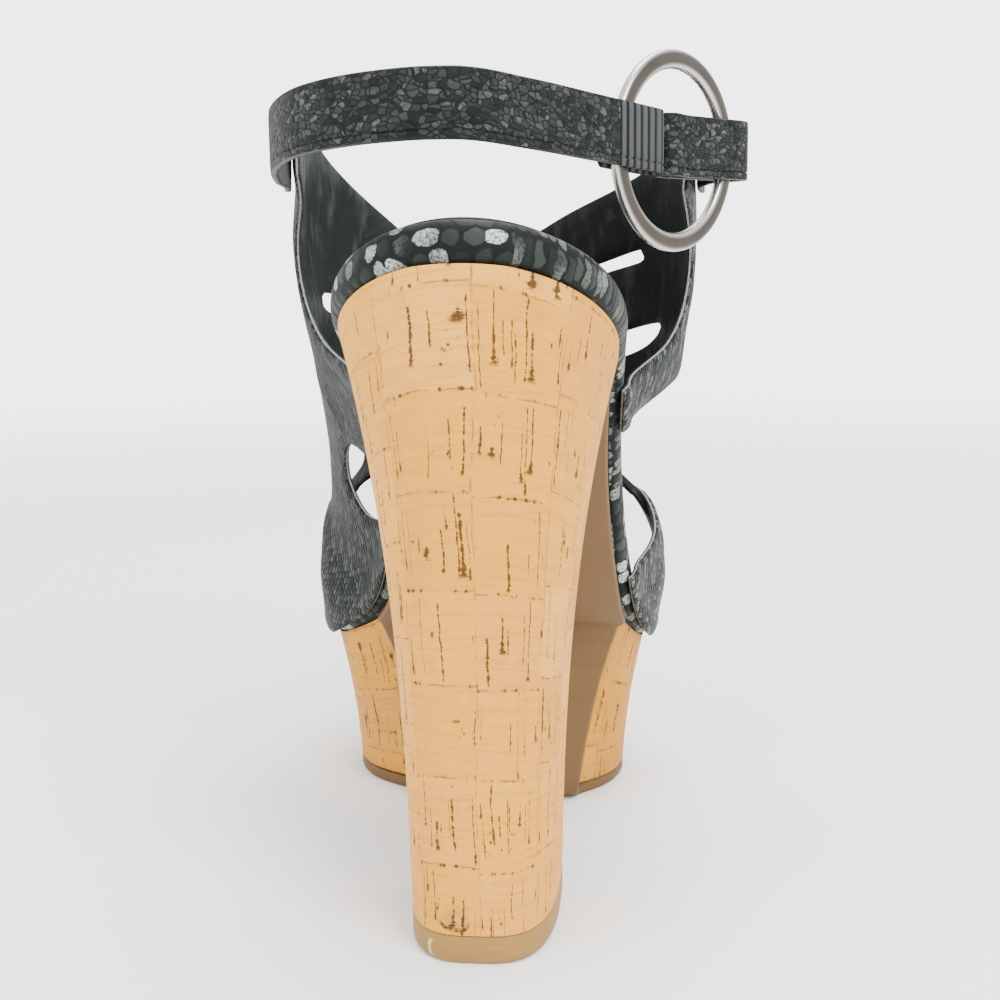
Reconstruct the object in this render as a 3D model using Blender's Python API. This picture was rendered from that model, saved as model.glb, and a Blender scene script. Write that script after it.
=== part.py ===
"""Platform sandal with a tall block heel, one right shoe, built on the sections of its last.

Toes point along +Y, the outer (little toe) side is +X, and the floor is Z = 0. The origin
is the middle of the heel's floor face. Every length here is in millimetres, and solid()
turns them into metres.

The footbed is a line in the YZ plane. A place on the shoe is given by the distance s along
that line from the back of the heel, the height n square to the line, and the sideways x.
The last closes over the footbed with the girth position v: 0 is the outer feather edge,
0.5 the ridge of the instep and 1 the inner feather edge.
"""

import bpy
import bmesh
import numpy as np
from math import cos, hypot, pi, radians, sin
from mathutils import Vector
from mathutils.geometry import delaunay_2d_cdt

MM = 0.001

# Footbed line, seen from the side
SEAT_HEIGHT = 154.0
SEAT_BACK = -30.0
SEAT_SLOPE = radians(23)
SEAT_LENGTH = 50.0
BALL_Y = 97.0
BALL_HEIGHT = 50.0
BALL_SLOPE = radians(9)
TOE_Y = 176.0
TOE_HEIGHT = 54.0
TOE_SLOPE = radians(7)
ARCH_PULL_SEAT = 1.0
ARCH_PULL_BALL = 0.85

# Widths and thicknesses
BALL_WIDTH = 92.0
FOOTBED_THICKNESS = 9.0
RIM_ROUND = 3.0
INSOLE_THICKNESS = 1.2
INSOLE_INSET = 4.2
INSOLE_BEVEL = 0.6
GAP = 0.3
FIT = 0.4
WALL = 2.0

# Platform, outsole and heel
PLATFORM_INSET = 2.0
PLATFORM_UNDERCUT = 5.7
PLATFORM_BACK = 74.0
PLATFORM_TOE_TUCK = 7.0
PLATFORM_CORNER = 4.0
PLATFORM_HOLLOW = 5.0
PLATFORM_WAIST = 0.8
PLATFORM_BACK_PULL = (0.08, 0.20)
OUTSOLE_THICKNESS = 3.0
OUTSOLE_INSET = 3.2
OUTSOLE_TIP = 1.0
TOE_SPRING = 7.0
TOE_SPRING_START = 122.0
HEEL_WIDTH = 33.0
HEEL_DEPTH = 38.0
HEEL_INSET = 1.8
HEEL_CORNER = 0.62
HEEL_FLARE = (0.20, 2.6)
HEEL_LEAN = (0.45, 2.2)
HEEL_BACK_STEP = 1.6
TOP_LIFT_THICKNESS = 6.0
TOP_LIFT_BEVEL = 0.5

# Ankle strap, elastic, ring and closing strap
STRAP_WIDTH = 13.0
STRAP_THICKNESS = 1.8
STRAP_HEIGHT = SEAT_HEIGHT + 0.158 * BALL_WIDTH
STRAP_BACK_RISE = 5.0
STRAP_LEAD = 9.0
RING_RADIUS = 19.0
RING_BAND = 4.0
RING_THICKNESS = 2.4
RING_DROP = 1.0
RING_TURN = radians(52)
LOOP_THICKNESS = 1.5
LOOP_ROOM = 0.35
LOOP_REACH = 7.0
LOOP_MEET = 2 * LOOP_THICKNESS + FIT
LOOP_BACK = 3.2
LOOP_CLOSING = 7.0
GORE_SLIP = 4.0
GORE_TAIL = 10.0
SEAT_GAP = 0.7
CLOSING_FIRST_STEP = (2.0, -2.0)

# Places seen from above, as shares of the ball width: the ring, the bend of the closing strap,
# and the ankle strap from the inner quarter to behind the ring
RING_PLACE = (0.446, 0.207)
CLOSING_BEND = (0.580, 0.461)
STRAP_BACK = -0.337
ANKLE_PLAN = (
    (-0.478, 0.217), (-0.440, 0.022), (-0.342, -0.174), (-0.185, -0.299), (0.0, STRAP_BACK),
    (0.130, -0.217),
)

# Where the straps are sewn on the quarters: distance ahead of the heel's middle, and how far
# the strap's middle line lies above its usual height
STRAP_SEAT_COLUMNS = ("ahead", "rise")
INNER_STRAP_SEAT = ((53.0, -0.6), (47.0, -0.3), (41.0, 0.0), (35.5, 0.0))
OUTER_STRAP_SEAT = ((69.0, -2.6), (62.5, -1.5), (56.0, -0.6))
INNER_SEAT_GIRTH = 0.79
OUTER_SEAT_GIRTH = 0.21

# Shares of the footbed's length and of the ball width
HEEL_ROUND = 0.20
TOE_ROUND = 0.66
PLATFORM_START = 0.610
PLATFORM_ROUND = 0.09
HEEL_END = 0.229
V_RIM = 0.06
FEATHER_TURN = radians(-54)
GIRTH_SCALE = 200.0
HEEL_SQUARE = 2.05
TOE_SQUARE = 2.3
LAST_SHOULDER = 0.8
SWELL_START = 0.12

# How finely the pieces are drawn
FOOTBED_POINTS = 42
INSOLE_POINTS = 34
PLATFORM_POINTS = 34
CUT_START_TURN = 0.18 * pi
HEEL_POINTS = 26
ARCH_POINTS = 26
PLAN_STEPS = 5
RING_TURNS = 44
RING_SIDES = 8
RING_SQUARE = 0.6
UPPER_EDGE_STEP = 3.4
UPPER_GRID = (5.8, 4.0)
UPPER_SPAN = (0.18, 0.80)

# Plan of the footbed: share of length, centre and half width as shares of the ball width
PLAN_COLUMNS = ("share", "centre", "half")
PLAN = (
    (0.00, 0.000, 0.345),
    (0.14, 0.000, 0.345),
    (0.26, 0.000, 0.335),
    (0.40, 0.013, 0.313),
    (0.52, 0.008, 0.336),
    (0.60, -0.020, 0.390),
    (0.66, -0.068, 0.473),
    (0.74, -0.092, 0.505),
    (0.86, -0.118, 0.450),
    (1.00, -0.130, 0.400),
)

# Sections of the last: height of the ridge, swell of each side, offset of the ridge
LAST_COLUMNS = ("share", "ridge", "outer_swell", "inner_swell", "ridge_x")
LAST = (
    (0.10, 1.15, 0.190, 0.180, 0.00),
    (0.22, 1.08, 0.200, 0.215, 0.00),
    (0.32, 0.98, 0.245, 0.320, -0.01),
    (0.42, 0.82, 0.205, 0.300, -0.02),
    (0.50, 0.70, 0.140, 0.265, -0.03),
    (0.60, 0.56, 0.100, 0.185, -0.06),
    (0.70, 0.46, 0.070, 0.035, -0.10),
    (0.80, 0.38, 0.060, 0.020, -0.14),
    (0.90, 0.30, 0.040, 0.040, -0.16),
    (1.00, 0.20, 0.020, 0.020, -0.15),
)

# Edges of the upper: rows of share of the footbed's length, and girth position
OUTER_REAR_EDGE = (
    (0.287, 0.000), (0.295, 0.050), (0.318, 0.092), (0.334, 0.132), (0.330, 0.170),
    (0.300, 0.192), (0.265, 0.186), (0.236, 0.176),
)
THROAT_EDGE = (
    (0.232, 0.228), (0.265, 0.272), (0.300, 0.328), (0.333, 0.390), (0.360, 0.450),
    (0.385, 0.500), (0.398, 0.535), (0.385, 0.570), (0.352, 0.610), (0.313, 0.658),
    (0.280, 0.700), (0.240, 0.742), (0.200, 0.772),
)
INNER_REAR_EDGE = (
    (0.203, 0.832), (0.235, 0.825), (0.270, 0.810), (0.300, 0.804), (0.325, 0.828),
    (0.332, 0.866), (0.315, 0.910), (0.290, 0.950), (0.280, 1.000),
)
TOE_EDGE = (
    (0.775, 1.000), (0.765, 0.940), (0.740, 0.860), (0.705, 0.750), (0.672, 0.620),
    (0.655, 0.510), (0.668, 0.400), (0.695, 0.270), (0.728, 0.150), (0.748, 0.060),
    (0.752, 0.000),
)
OUTER_WAIST_EDGE = (
    (0.545, 0.000), (0.552, 0.060), (0.580, 0.130), (0.614, 0.200), (0.638, 0.270),
    (0.638, 0.330), (0.608, 0.368), (0.560, 0.366), (0.510, 0.332), (0.460, 0.270),
    (0.415, 0.200), (0.378, 0.125), (0.353, 0.055), (0.345, 0.000),
)
INNER_DIAMOND = (
    (0.430, 0.885), (0.460, 0.862), (0.496, 0.862), (0.512, 0.900), (0.484, 0.935),
    (0.446, 0.952), (0.426, 0.925),
)
INNER_WINDOW = (
    (0.500, 0.722), (0.532, 0.692), (0.572, 0.674), (0.614, 0.674), (0.638, 0.700),
    (0.640, 0.742), (0.616, 0.764), (0.575, 0.764), (0.532, 0.750),
)
OUTER_SLIT_HIGH = (
    (0.368, 0.354), (0.387, 0.400), (0.406, 0.446), (0.414, 0.449), (0.415, 0.440),
    (0.397, 0.396), (0.379, 0.352), (0.372, 0.347),
)
OUTER_SLIT_LOW = (
    (0.412, 0.296), (0.430, 0.338), (0.455, 0.384), (0.480, 0.412), (0.490, 0.402),
    (0.472, 0.360), (0.446, 0.318), (0.422, 0.294),
)
INNER_SLIT = (
    (0.378, 0.715), (0.398, 0.672), (0.424, 0.628), (0.438, 0.618), (0.441, 0.630),
    (0.420, 0.675), (0.394, 0.717), (0.383, 0.725),
)
CENTRE_GAP = (
    (0.470, 0.505), (0.490, 0.478), (0.515, 0.463), (0.530, 0.480), (0.538, 0.510),
    (0.530, 0.545), (0.510, 0.560), (0.488, 0.540),
)


def clear_scene():
    for item in list(bpy.data.objects):
        bpy.data.objects.remove(item, do_unlink=True)


def material(name, colour, roughness, metallic=0.0):
    made = bpy.data.materials.new(name)
    made.use_nodes = True
    shader = made.node_tree.nodes["Principled BSDF"]
    shader.inputs["Base Color"].default_value = (*colour, 1.0)
    shader.inputs["Roughness"].default_value = roughness
    shader.inputs["Metallic"].default_value = metallic
    return made


def solid(name, points, faces, finish, sharp=35):
    """Makes one closed object from points in millimetres, with its faces turned outward."""
    mesh = bpy.data.meshes.new(name)
    mesh.from_pydata([tuple(float(c) * MM for c in p) for p in points], [], faces)
    body = bmesh.new()
    body.from_mesh(mesh)
    bmesh.ops.recalc_face_normals(body, faces=body.faces)
    bmesh.ops.triangulate(body, faces=body.faces)
    body.to_mesh(mesh)
    body.free()
    mesh.shade_smooth()
    mesh.set_sharp_from_angle(angle=radians(sharp))
    mesh.materials.append(finish)
    made = bpy.data.objects.new(name, mesh)
    bpy.context.scene.collection.objects.link(made)
    return made


def smooth_column(rows, column, share):
    """Reads one column of a table along a smooth curve through its rows."""
    xs = np.array([row[0] for row in rows])
    ys = np.array([row[column] for row in rows])
    share = np.asarray(share, float)
    slope = np.gradient(ys, xs)
    i = np.clip(np.searchsorted(xs, share) - 1, 0, len(xs) - 2)
    h = xs[i + 1] - xs[i]
    t = np.clip((share - xs[i]) / h, 0, 1)
    rise = (2 * t**3 - 3 * t**2 + 1) * ys[i] + (3 * t**2 - 2 * t**3) * ys[i + 1]
    return rise + (t**3 - 2 * t**2 + t) * h * slope[i] + (t**3 - t**2) * h * slope[i + 1]


def arc_between(start, start_pull, end, end_pull, count):
    """Points of the cubic from start to end with the given pulls at its ends."""
    t = np.linspace(0, 1, count)[:, None]
    ends = (2 * t**3 - 3 * t**2 + 1) * start + (3 * t**2 - 2 * t**3) * end
    return ends + (t**3 - 2 * t**2 + t) * start_pull + (t**3 - t**2) * end_pull


def footbed_line():
    """The top of the footbed: a flat seat, the arch down to the ball, and the toe."""
    back = np.array([SEAT_BACK, SEAT_HEIGHT])
    seat = np.array([cos(SEAT_SLOPE), -sin(SEAT_SLOPE)])
    breast = back + SEAT_LENGTH * seat
    ball = np.array([BALL_Y, BALL_HEIGHT])
    tread = np.array([cos(BALL_SLOPE), -sin(BALL_SLOPE)])
    toe = np.array([TOE_Y, TOE_HEIGHT])
    lift = np.array([cos(TOE_SLOPE), sin(TOE_SLOPE)])
    span = hypot(*(ball - breast))
    fore = hypot(*(toe - ball))
    arch = arc_between(breast, seat * span * ARCH_PULL_SEAT, ball, tread * span * ARCH_PULL_BALL, 80)
    front = arc_between(ball, tread * fore, toe, lift * fore, 60)
    return np.vstack([np.linspace(back, breast, 40)[:-1], arch[:-1], front])


LINE = footbed_line()
LINE_AT = np.concatenate([[0.0], np.cumsum(np.hypot(*np.diff(LINE, axis=0).T))])
LENGTH = float(LINE_AT[-1])
LINE_TURN = np.gradient(LINE, LINE_AT, axis=0)
LINE_TURN /= np.hypot(*LINE_TURN.T)[:, None]


def place(x, s, n):
    """Points at sideways x, distance s along the footbed line and height n square to it."""
    x, s, n = np.broadcast_arrays(*(np.asarray(value, float) for value in (x, s, n)))
    y = np.interp(s, LINE_AT, LINE[:, 0])
    z = np.interp(s, LINE_AT, LINE[:, 1])
    along_y = np.interp(s, LINE_AT, LINE_TURN[:, 0])
    along_z = np.interp(s, LINE_AT, LINE_TURN[:, 1])
    return np.stack([x, y - n * along_z, z + n * along_y], axis=-1)


def plan(s):
    """Centre and half width of the footbed at the distance s, closed round at both ends."""
    share = np.clip(np.asarray(s, float) / LENGTH, 0, 1)
    centre = smooth_column(PLAN, PLAN_COLUMNS.index("centre"), share) * BALL_WIDTH
    half = smooth_column(PLAN, PLAN_COLUMNS.index("half"), share) * BALL_WIDTH
    back = np.clip(1 - share / HEEL_ROUND, 0, 1)
    front = np.clip((share - TOE_ROUND) / (1 - TOE_ROUND), 0, 1)
    heel_cap = (1 - back**HEEL_SQUARE) ** (1 / HEEL_SQUARE)
    toe_cap = (1 - front**TOE_SQUARE) ** (1 / TOE_SQUARE)
    return centre, half * heel_cap * toe_cap


def outline(inset, count, start=0.0):
    """Closed plan outline as rows of (x, s): out along the outer side, back along the inner.

    An outline that starts at the very back has a single point there, as it has at the toe.
    One that starts further on is cut straight across, and its inset leaves that cut in place.
    """
    turn = (1 - np.cos(np.linspace(CUT_START_TURN if start else 0, pi, count))) / 2
    turn = (turn - turn[0]) / (turn[-1] - turn[0])
    s = (start + (1 - start) * turn) * LENGTH
    centre, half = plan(s)
    outer = np.stack([centre + half, s], axis=-1)
    inner = np.stack([centre - half, s], axis=-1)[::-1]
    loop = np.vstack([outer, inner[1:] if start else inner[1:-1]])
    along = np.roll(loop, -1, axis=0) - np.roll(loop, 1, axis=0)
    if start:
        along[0] = (0.0, 1.0)
        along[-1] = (0.0, -1.0)
    along /= np.hypot(*along.T)[:, None]
    inward = np.stack([-along[:, 1], along[:, 0]], axis=-1)
    return loop + inset * inward


def stack_rings(rings):
    """Points of rings of equal length, the faces between them, and the points in each."""
    count = len(rings[0])
    points = np.vstack(rings)
    faces = []
    for low in range(0, len(points) - count, count):
        for i in range(count):
            j = (i + 1) % count
            faces.append((low + i, low + j, low + count + j, low + count + i))
    return points, faces, count


def cap(count, base, tip):
    """Faces across a ring whose points pair up from side to side, after a single tip if any."""
    faces = [(base, base + 1, base + count - 1)] if tip else []
    left = base + 1 if tip else base
    right = base + count - 1
    while right - left > 1:
        if right - left == 2:
            faces.append((left, left + 1, right))
        else:
            faces.append((left, left + 1, right - 1, right))
        left += 1
        right -= 1
    return faces


def ringed_solid(name, rings, finish, tip=False):
    """A body of stacked rings, capped straight across at both ends."""
    points, faces, count = stack_rings(rings)
    faces += cap(count, 0, tip)
    faces += cap(count, len(points) - count, tip)
    return solid(name, points, faces, finish)


def lofted_solid(name, stations, finish):
    """Joins stations, each a closed ring of points, and closes both ends with a face."""
    points, faces, count = stack_rings(stations)
    faces.append(tuple(range(count)))
    faces.append(tuple(range(len(points) - count, len(points))))
    return solid(name, points, faces, finish, 50)


def footbed(finish):
    """The wrapped board with its rolled rim."""
    half = FOOTBED_THICKNESS / 2
    rings = []
    for turn in np.radians((90, 58, 30, 0, -30, -58, -90)):
        ring = outline(RIM_ROUND * (1 - cos(turn)), FOOTBED_POINTS)
        rings.append(place(ring[:, 0], ring[:, 1], -half + half * sin(turn)))
    return ringed_solid("footbed", rings, finish, tip=True)


def insole(finish):
    """The sock that lies on the footbed inside its rolled rim."""
    rings = []
    for inset, rise in ((0.0, 0.0), (0.0, INSOLE_THICKNESS / 2), (INSOLE_BEVEL, INSOLE_THICKNESS)):
        ring = outline(INSOLE_INSET + inset, INSOLE_POINTS)
        rings.append(place(ring[:, 0], ring[:, 1], GAP + rise))
    return ringed_solid("insole", rings, finish, tip=True)


def tread_height(y):
    """Height of the outsole's upper face above the floor, with the toe spring."""
    toe = TOE_Y - PLATFORM_TOE_TUCK
    rise = np.clip((np.asarray(y, float) - TOE_SPRING_START) / (toe - TOE_SPRING_START), 0, None)
    return OUTSOLE_THICKNESS + TOE_SPRING * rise**2


def platform_rings():
    """Rings of the cork platform, from under the footbed down to the outsole."""
    top = outline(PLATFORM_INSET, PLATFORM_POINTS, start=PLATFORM_START)
    bottom = outline(PLATFORM_INSET + PLATFORM_UNDERCUT, PLATFORM_POINTS, start=PLATFORM_START)
    high = place(top[:, 0], top[:, 1], -FOOTBED_THICKNESS - GAP)
    back_y = high[0, 1]
    toe_y = high[:, 1].max()
    spread = (TOE_Y - PLATFORM_TOE_TUCK - PLATFORM_BACK - PLATFORM_CORNER) / (toe_y - back_y)
    low_y = PLATFORM_BACK + PLATFORM_CORNER + (high[:, 1] - back_y) * spread
    low = np.stack([bottom[:, 0], low_y, tread_height(low_y) + GAP], axis=-1)
    corner = PLATFORM_CORNER
    bend = 1 - corner / (high[0, 2] - OUTSOLE_THICKNESS - GAP)
    back_steps = (
        (0.00, back_y),
        (0.12, back_y + 0.5 * PLATFORM_HOLLOW),
        (0.28, PLATFORM_BACK + PLATFORM_HOLLOW),
        (0.50, PLATFORM_BACK + 0.9 * PLATFORM_HOLLOW),
        (0.74, PLATFORM_BACK + 0.4 * PLATFORM_HOLLOW),
        (bend, PLATFORM_BACK),
        (1 - 0.3 * (1 - bend), PLATFORM_BACK + 0.3 * corner),
        (1.00, PLATFORM_BACK + corner),
    )
    rings = []
    nearness = np.clip(1 - (top[:, 1] / LENGTH - PLATFORM_START) / PLATFORM_ROUND, 0, 1) ** 2.5
    middle = plan(PLATFORM_START * LENGTH)[0]
    for fall, y in back_steps:
        ring = high + (low - high) * fall
        ring[:, 1] += (y - ring[0, 1]) * nearness
        pull = nearness * (PLATFORM_BACK_PULL[0] + PLATFORM_BACK_PULL[1] * fall)
        ring[:, 0] += (middle - ring[:, 0]) * pull
        ring[:, 0] -= PLATFORM_WAIST * sin(pi * fall) * np.sign(ring[:, 0] - middle)
        rings.append(ring)
    return rings


def platform(finish):
    return ringed_solid("platform", platform_rings(), finish)


def outsole(finish):
    """The tan sheet: tread, back of the platform and arch, ending at the heel's front."""
    rings = platform_rings()
    inner_path = []
    breast = HEEL_DEPTH / 2 + 2 * GAP
    arch_s = np.linspace(HEEL_END * LENGTH, PLATFORM_START * LENGTH, ARCH_POINTS)[:-1]
    centre, half = plan(arch_s)
    arch = place(0.0, arch_s, -FOOTBED_THICKNESS - GAP)
    for point, c, w in zip(arch, centre, half):
        if point[1] > breast + OUTSOLE_THICKNESS * sin(pi / 4):
            inner_path.append((point[1], point[2], c + w - OUTSOLE_INSET, c - w + OUTSOLE_INSET))
    for ring in rings[:-1]:
        inner_path.append((ring[0, 1] - GAP, ring[0, 2] - GAP, ring[0, 0] - FIT, ring[-1, 0] + FIT))
    low = rings[-1]
    half_count = len(low) // 2
    for i in range(half_count + 1):
        outer, inner = low[i], low[-1 - i] if i < half_count else low[i]
        inner_path.append((outer[1], outer[2] - GAP, outer[0], inner[0]))
    path = np.array(inner_path)
    along = np.gradient(path[:, :2], axis=0)
    along /= np.hypot(*along.T)[:, None]
    away = np.stack([along[:, 1], -along[:, 0]], axis=-1) * OUTSOLE_THICKNESS
    outer_path = path[:, :2] + away
    flat = (path[:, 1] < OUTSOLE_THICKNESS + GAP / 2) & (path[:, 0] < TOE_SPRING_START)
    outer_path[flat, 1] = 0.0
    outer_path[:, 1] = np.maximum(outer_path[:, 1], 0.0)
    outer_path[-1] = (path[-1, 0], path[-1, 1] - OUTSOLE_THICKNESS)
    stations = []
    for i, (y, z, right, left) in enumerate(path):
        if i == len(path) - 1:
            right, left = right + OUTSOLE_TIP, left - OUTSOLE_TIP
        oy, oz = outer_path[i]
        stations.append([(right, y, z), (right, oy, oz), (left, oy, oz), (left, y, z)])
    return lofted_solid("outsole", [np.array(s) for s in stations], finish)


def heel_outline(inset):
    """A D seen from above: flat at the front, rounded at the back, as rows of (x, y)."""
    angle = np.linspace(0, pi, HEEL_POINTS)
    x = (HEEL_WIDTH / 2 - inset) * np.sign(np.cos(angle)) * np.abs(np.cos(angle)) ** HEEL_CORNER
    y = (HEEL_DEPTH - 2 * inset) * (0.5 - np.abs(np.sin(angle)) ** HEEL_CORNER)
    return np.stack([x, y], axis=-1)


def heel_rings():
    """Rings of the heel block from the seat down to the top lift."""
    base = heel_outline(0.0)
    angle = np.linspace(0, pi, len(base))
    reach = HEEL_END * LENGTH
    seat_s = reach * (1 - np.sin(angle)) + HEEL_BACK_STEP * np.sin(angle)
    centre, half = plan(seat_s)
    side = np.sign(np.cos(angle))
    side[np.abs(np.cos(angle)) < 0.01] = 0.0
    widest = plan(HEEL_ROUND * LENGTH)[1] - HEEL_INSET
    seat_x = centre + side * np.minimum(half - HEEL_INSET, widest)
    seat = place(seat_x, seat_s, -FOOTBED_THICKNESS - GAP)
    foot_z = TOP_LIFT_THICKNESS + GAP
    foot = np.stack([base[:, 0], base[:, 1], np.full(len(base), foot_z)], axis=-1)
    rings = []
    for rise in (0.0, 0.12, 0.25, 0.38, 0.50, 0.61, 0.71, 0.80, 0.88, 0.94, 1.0):
        flare = HEEL_FLARE[0] * rise + (1 - HEEL_FLARE[0]) * rise ** HEEL_FLARE[1]
        lean = HEEL_LEAN[0] * rise + (1 - HEEL_LEAN[0]) * rise ** HEEL_LEAN[1]
        ring = foot + (seat - foot) * flare
        ring[:, 2] = foot[:, 2] + (seat[:, 2] - foot[:, 2]) * rise
        ring[:, 1] = foot[:, 1] + (seat[:, 1] - foot[:, 1]) * lean
        rings.append(ring)
    return rings


def heel(finish):
    return ringed_solid("heel", heel_rings(), finish)


def heel_top_lift(finish):
    rings = []
    for inset, z in ((TOP_LIFT_BEVEL, 0.0), (0.0, TOP_LIFT_BEVEL), (0.0, TOP_LIFT_THICKNESS)):
        ring = heel_outline(inset)
        rings.append(np.column_stack([ring, np.full(len(ring), z)]))
    return ringed_solid("heel_top_lift", rings, finish)


def last_surface(s, v, away=0.0):
    """Points of the last at distance s and girth v, moved away from it by the given amount."""
    s, v = np.broadcast_arrays(np.asarray(s, float), np.asarray(v, float))

    def bare(s, v):
        share = s / LENGTH
        centre, half = plan(s)
        ridge = smooth_column(LAST, LAST_COLUMNS.index("ridge"), share) * BALL_WIDTH
        outer = smooth_column(LAST, LAST_COLUMNS.index("outer_swell"), share)
        inner = smooth_column(LAST, LAST_COLUMNS.index("inner_swell"), share)
        swell = np.where(v < 0.5, outer, inner) * BALL_WIDTH
        ridge_x = smooth_column(LAST, LAST_COLUMNS.index("ridge_x"), share) * BALL_WIDTH
        side = np.where(v < 0.5, 1.0, -1.0)
        up = np.where(v < 0.5, v, 1 - v)
        thick = FOOTBED_THICKNESS / 2
        turn = FEATHER_TURN * (1 - np.clip(up / V_RIM, -0.2, 1))
        rim_x = half - RIM_ROUND + (RIM_ROUND + FIT) * np.cos(turn)
        rim_n = -thick + (thick + FIT) * np.sin(turn)
        climb = np.clip((up - V_RIM) / (0.5 - V_RIM), 0, 1) * pi / 2
        bump = np.sin(2 * climb) * np.tanh(climb / SWELL_START)
        body_x = (half + FIT) * np.cos(climb).clip(0) ** LAST_SHOULDER + swell * bump
        body_x = body_x + (ridge_x - centre) * side * np.sin(climb) ** 2
        body_n = -thick + (ridge + thick) * np.sin(climb)
        x = np.where(up < V_RIM, rim_x, body_x)
        n = np.where(up < V_RIM, rim_n, body_n)
        return place(centre + side * x, s, n)

    point = bare(s, v)
    if away == 0.0:
        return point
    ahead = bare(s + 0.5, v) - bare(s - 0.5, v)
    across = bare(s, np.minimum(v + 0.002, 1.0)) - bare(s, np.maximum(v - 0.002, 0.0))
    normal = np.cross(across, ahead)
    normal /= np.linalg.norm(normal, axis=-1)[..., None]
    return point - away * normal


def curve_through(rows, step, closed=False):
    """Points every step or so along a smooth curve through table rows, in pattern units."""
    knots = [Vector((share * LENGTH, girth * GIRTH_SCALE)) for share, girth in rows]
    count = len(knots)
    points = []
    for i in range(count if closed else count - 1):
        b, c = knots[i], knots[(i + 1) % count]
        a = knots[i - 1] if closed or i > 0 else b
        d = knots[(i + 2) % count] if closed or i + 2 < count else c
        pieces = max(1, round((c - b).length / step))
        for k in range(pieces):
            t = k / pieces
            pull_b = (c - a) / 2
            pull_c = (d - b) / 2
            place_t = (2 * t**3 - 3 * t**2 + 1) * b + (3 * t**2 - 2 * t**3) * c
            points.append(place_t + (t**3 - 2 * t**2 + t) * pull_b + (t**3 - t**2) * pull_c)
    if not closed:
        points.append(knots[-1])
    return [(p.x, min(max(p.y, 0.0), GIRTH_SCALE)) for p in points]


def feather_run(start_share, end_share, girth, step):
    """Points along a feather edge, without its two ends."""
    count = max(2, round(abs(end_share - start_share) * LENGTH / step))
    shares = np.linspace(start_share, end_share, count + 1)[1:-1]
    return [(share * LENGTH, girth * GIRTH_SCALE) for share in shares]


def upper_pattern(step):
    """The upper laid out flat: its outline and its openings."""
    rim = curve_through(OUTER_REAR_EDGE, step)
    rim += curve_through(THROAT_EDGE, step)
    rim += curve_through(INNER_REAR_EDGE, step)
    rim += feather_run(INNER_REAR_EDGE[-1][0], TOE_EDGE[0][0], 1.0, step)
    rim += curve_through(TOE_EDGE, step)
    rim += feather_run(TOE_EDGE[-1][0], OUTER_WAIST_EDGE[0][0], 0.0, step)
    rim += curve_through(OUTER_WAIST_EDGE, step)
    rim += feather_run(OUTER_WAIST_EDGE[-1][0], OUTER_REAR_EDGE[0][0], 0.0, step)
    holes = [
        curve_through(rows, step, closed=True)
        for rows in (INNER_DIAMOND, INNER_WINDOW, OUTER_SLIT_HIGH, OUTER_SLIT_LOW, INNER_SLIT, CENTRE_GAP)
    ]
    return rim, holes


def inside(point, loop):
    x, y = point
    hit = False
    for (x1, y1), (x2, y2) in zip(loop, loop[1:] + loop[:1]):
        if (y1 > y) != (y2 > y) and x < (x2 - x1) * (y - y1) / (y2 - y1) + x1:
            hit = not hit
    return hit


def edge_distance(point, loops):
    p = np.array(point)
    best = 1e9
    for loop in loops:
        a = np.array(loop)
        b = np.roll(a, -1, axis=0)
        run = b - a
        t = np.clip(((p - a) * run).sum(1) / (run**2).sum(1), 0, 1)
        best = min(best, np.hypot(*(a + run * t[:, None] - p).T).min())
    return best


def flat_triangles():
    """Cuts the flat pattern into triangles, with a grid of points inside it."""
    rim, holes = upper_pattern(UPPER_EDGE_STEP)
    loops = [rim] + holes

    def on_leather(point):
        return inside(point, rim) and not any(inside(point, hole) for hole in holes)

    points = []
    edges = []
    for loop in loops:
        base = len(points)
        points += loop
        edges += [(base + i, base + (i + 1) % len(loop)) for i in range(len(loop))]
    for s in np.arange(UPPER_SPAN[0] * LENGTH, UPPER_SPAN[1] * LENGTH, UPPER_GRID[0]):
        for v in np.arange(UPPER_GRID[1], GIRTH_SCALE, UPPER_GRID[1]):
            if on_leather((s, v)) and edge_distance((s, v), loops) > 0.45 * UPPER_GRID[1]:
                points.append((float(s), float(v)))
    flat = delaunay_2d_cdt([Vector(p) for p in points], edges, [], 0, 1e-5)
    spots = [(p.x, p.y) for p in flat[0]]
    keep = []
    for face in flat[2]:
        middle = tuple(np.mean([spots[i] for i in face], axis=0))
        if on_leather(middle):
            keep.append(tuple(face))
    return np.array(spots), keep


def upper(finish):
    """All the straps of the upper as one shell on the last, open wherever the pattern is."""
    spots, triangles = flat_triangles()
    used = sorted({i for face in triangles for i in face})
    number = {old: new for new, old in enumerate(used)}
    spots = spots[used]
    triangles = [tuple(number[i] for i in face) for face in triangles]
    s = spots[:, 0]
    v = spots[:, 1] / GIRTH_SCALE
    lining = last_surface(s, v)
    face_side = last_surface(s, v, WALL)
    count = len(spots)
    faces = [tuple(i + count for i in face) for face in triangles]
    faces += [tuple(reversed(face)) for face in triangles]
    seen = {edge: None for a, b, c in triangles for edge in ((a, b), (b, c), (c, a))}
    for a, b in seen:
        if (b, a) not in seen:
            faces.append((a, b, b + count, a + count))
    return solid("upper", np.vstack([lining, face_side]), faces, finish, 40)


def strap_height(y):
    """Height of the strap's middle line, which climbs towards the back of the heel."""
    share = y / BALL_WIDTH
    back = np.clip((RING_PLACE[1] - share) / (RING_PLACE[1] - STRAP_BACK), 0, 1)
    return STRAP_HEIGHT + STRAP_BACK_RISE * back


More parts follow.
